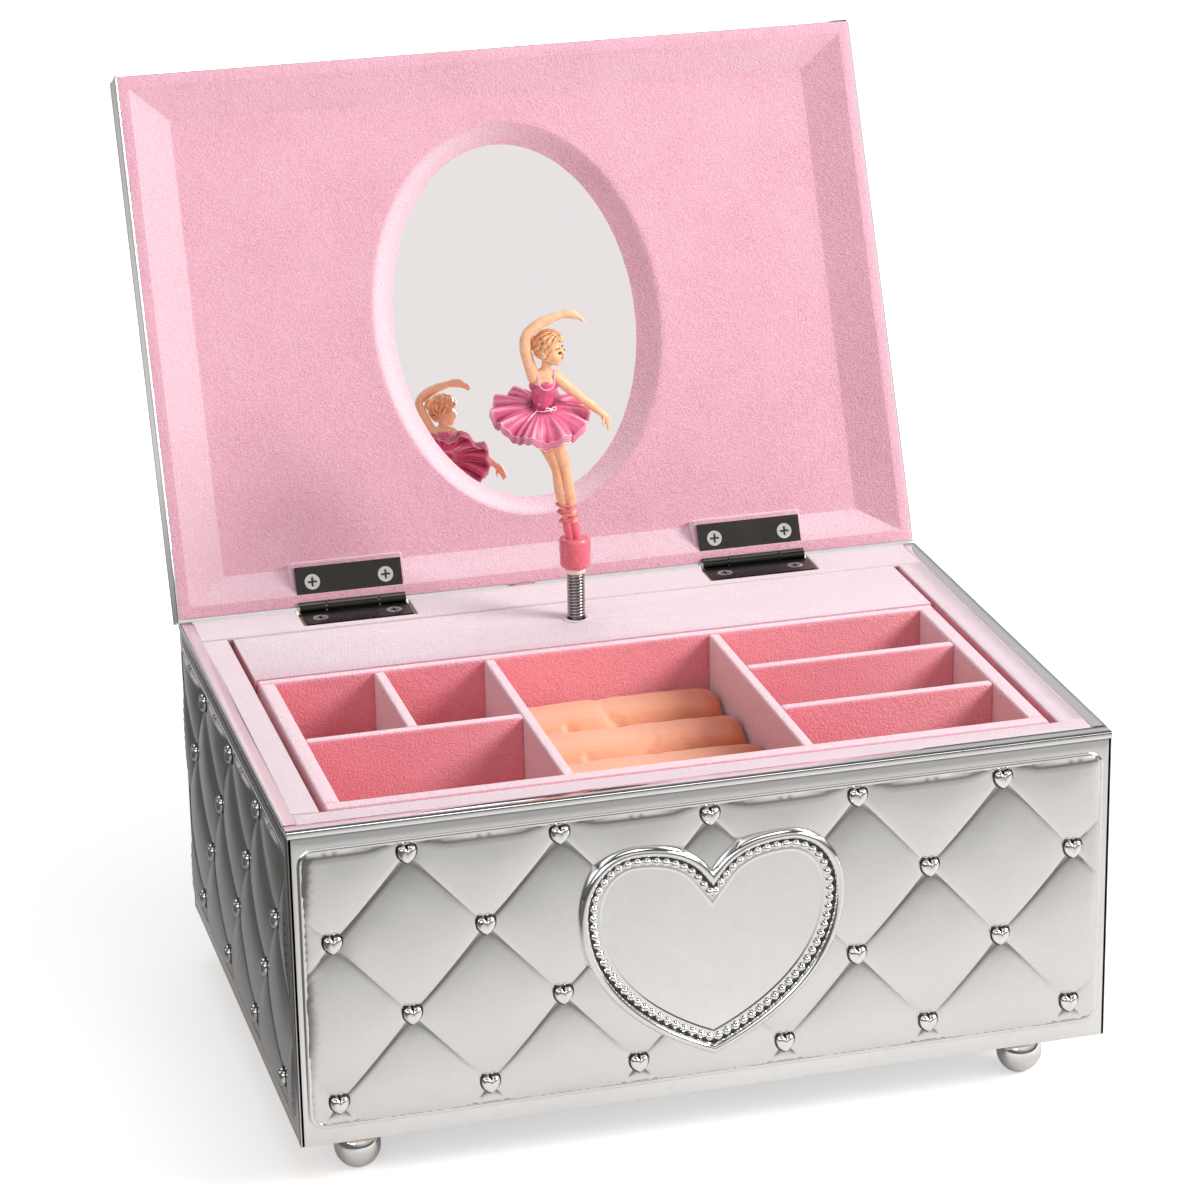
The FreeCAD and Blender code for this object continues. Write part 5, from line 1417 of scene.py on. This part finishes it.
def sky():
    """Bands of grey and a pale card in front for light and reflections, and a pale backdrop."""
    world = bpy.data.worlds.new("studio_sky")
    bpy.context.scene.world = world
    world.use_nodes = True
    tree = world.node_tree
    axes = split_axes(tree, tree.nodes.new("ShaderNodeTexCoord").outputs["Generated"])
    side = mixed(tree, remap(tree, axes["X"], -0.8, 0.2), (0.16, 0.16, 0.165), (0.62, 0.615, 0.61))
    low = mixed(tree, remap(tree, axes["Z"], 0.10, 0.30), (0.13, 0.127, 0.125), side)
    bands = mixed(tree, remap(tree, axes["Z"], 0.52, 0.64), low, (0.10, 0.10, 0.105))
    ahead = remap(tree, axes["Y"], -0.80, -0.45, 1.0, 0.0)
    lifted = remap(tree, axes["Z"], 0.25, 0.38)
    card = mixed(tree, product(tree, ahead, lifted), (0, 0, 0), (0.90, 0.885, 0.88))
    light = mixed(tree, 1.0, bands, card, "LIGHTEN")
    to_camera = tree.nodes.new("ShaderNodeLightPath").outputs["Is Camera Ray"]
    back = tree.nodes["Background"]
    tree.links.new(mixed(tree, to_camera, light, (0.90, 0.90, 0.905)), back.inputs["Color"])
    back.inputs["Strength"].default_value = 0.95


def reflected_table(floor):
    """The table as the plate mirrors it, seen only in reflections: grey paper with painted shade that darkens
    it further in front of the box, and a dark flag along the left side as a painted reflection of shade.
    """
    finish = material("table_seen_in_plate", (0.66, 0.655, 0.65), (0.62, 0.615, 0.61), (0.8, 0.9),
                      20, 3, bump=0.00001, specular=0.1)
    tree = finish.node_tree
    base = tree.nodes["Principled BSDF"].inputs["Base Color"]
    paint = base.links[0].from_socket
    axes = split_axes(tree, tree.nodes.new("ShaderNodeTexCoord").outputs["Object"])
    # painted shade: the paper darkens further in front of the box
    near = remap(tree, axes["Y"], -0.42, -0.15)
    paper = mixed(tree, 1.0, paint, mixed(tree, near, (0.52, 0.52, 0.52), (1.12, 1.12, 1.12)), "MULTIPLY")
    # painted reflection: a dark patch at the left that only reflections see
    beside = remap(tree, axes["X"], -0.14, -0.085, 1.0, 0.0)
    before = remap(tree, axes["Y"], 0.24, 0.40, 1.0, 0.0)
    flag = product(tree, beside, before)
    tree.links.new(mixed(tree, flag, paper, (0.13, 0.125, 0.12)), base)
    mesh = floor.copy()
    mesh.materials[0] = finish
    table = linked_object("table_seen_in_plate", mesh)
    table.location.z = 0.0001
    table.visible_camera = table.visible_diffuse = table.visible_shadow = False


FOCAL_LENGTH, SENSOR_WIDTH = 122.56, 36.0
CAMERA_PLACE = (-0.22158, -0.83713, 0.41165)
CAMERA_RIGHT = (0.96439, -0.26391, -0.01757)
CAMERA_UP = (0.10751, 0.33042, 0.93769)
CAMERA_AHEAD = (0.24166, 0.90619, -0.34703)


def camera():
    lens = bpy.data.cameras.new("camera")
    lens.lens, lens.sensor_width = FOCAL_LENGTH, SENSOR_WIDTH
    lens.clip_start = 0.01
    eye = linked_object("camera", lens)
    columns = (CAMERA_RIGHT, CAMERA_UP, tuple(-a for a in CAMERA_AHEAD))
    turn = Matrix(columns).transposed().to_4x4()
    eye.matrix_world = Matrix.Translation(CAMERA_PLACE) @ turn
    bpy.context.scene.camera = eye


FLOCKED_BOARDS = ("partition", "platform_board", "platform_cleat")


def carried_nodes():
    """Every CAD node gets its slot's finish, whether it shows or not."""
    for name, node in frame["nodes"].items():
        finish = FLOCK if name in FLOCKED_BOARDS else SLOT_FINISH[SLOTS[name]]
        if not node.data.materials:
            node.data.materials.append(finish)
        for n in range(len(node.data.materials)):
            node.data.materials[n] = finish


bpy.context.scene.view_settings.view_transform = "Standard"
camera()
studio()
carried_nodes()
box_panels()
back_edge()
heart_plate()
lid_plate()
lid_lining()
soft_pieces()
ring_rolls()
dancer_spring()
turned_pieces()
dancer_legs()
dancer_bodice()
dancer_bow()
dancer_skin()
face_paint()
dancer_hair()
dancer_tutu()
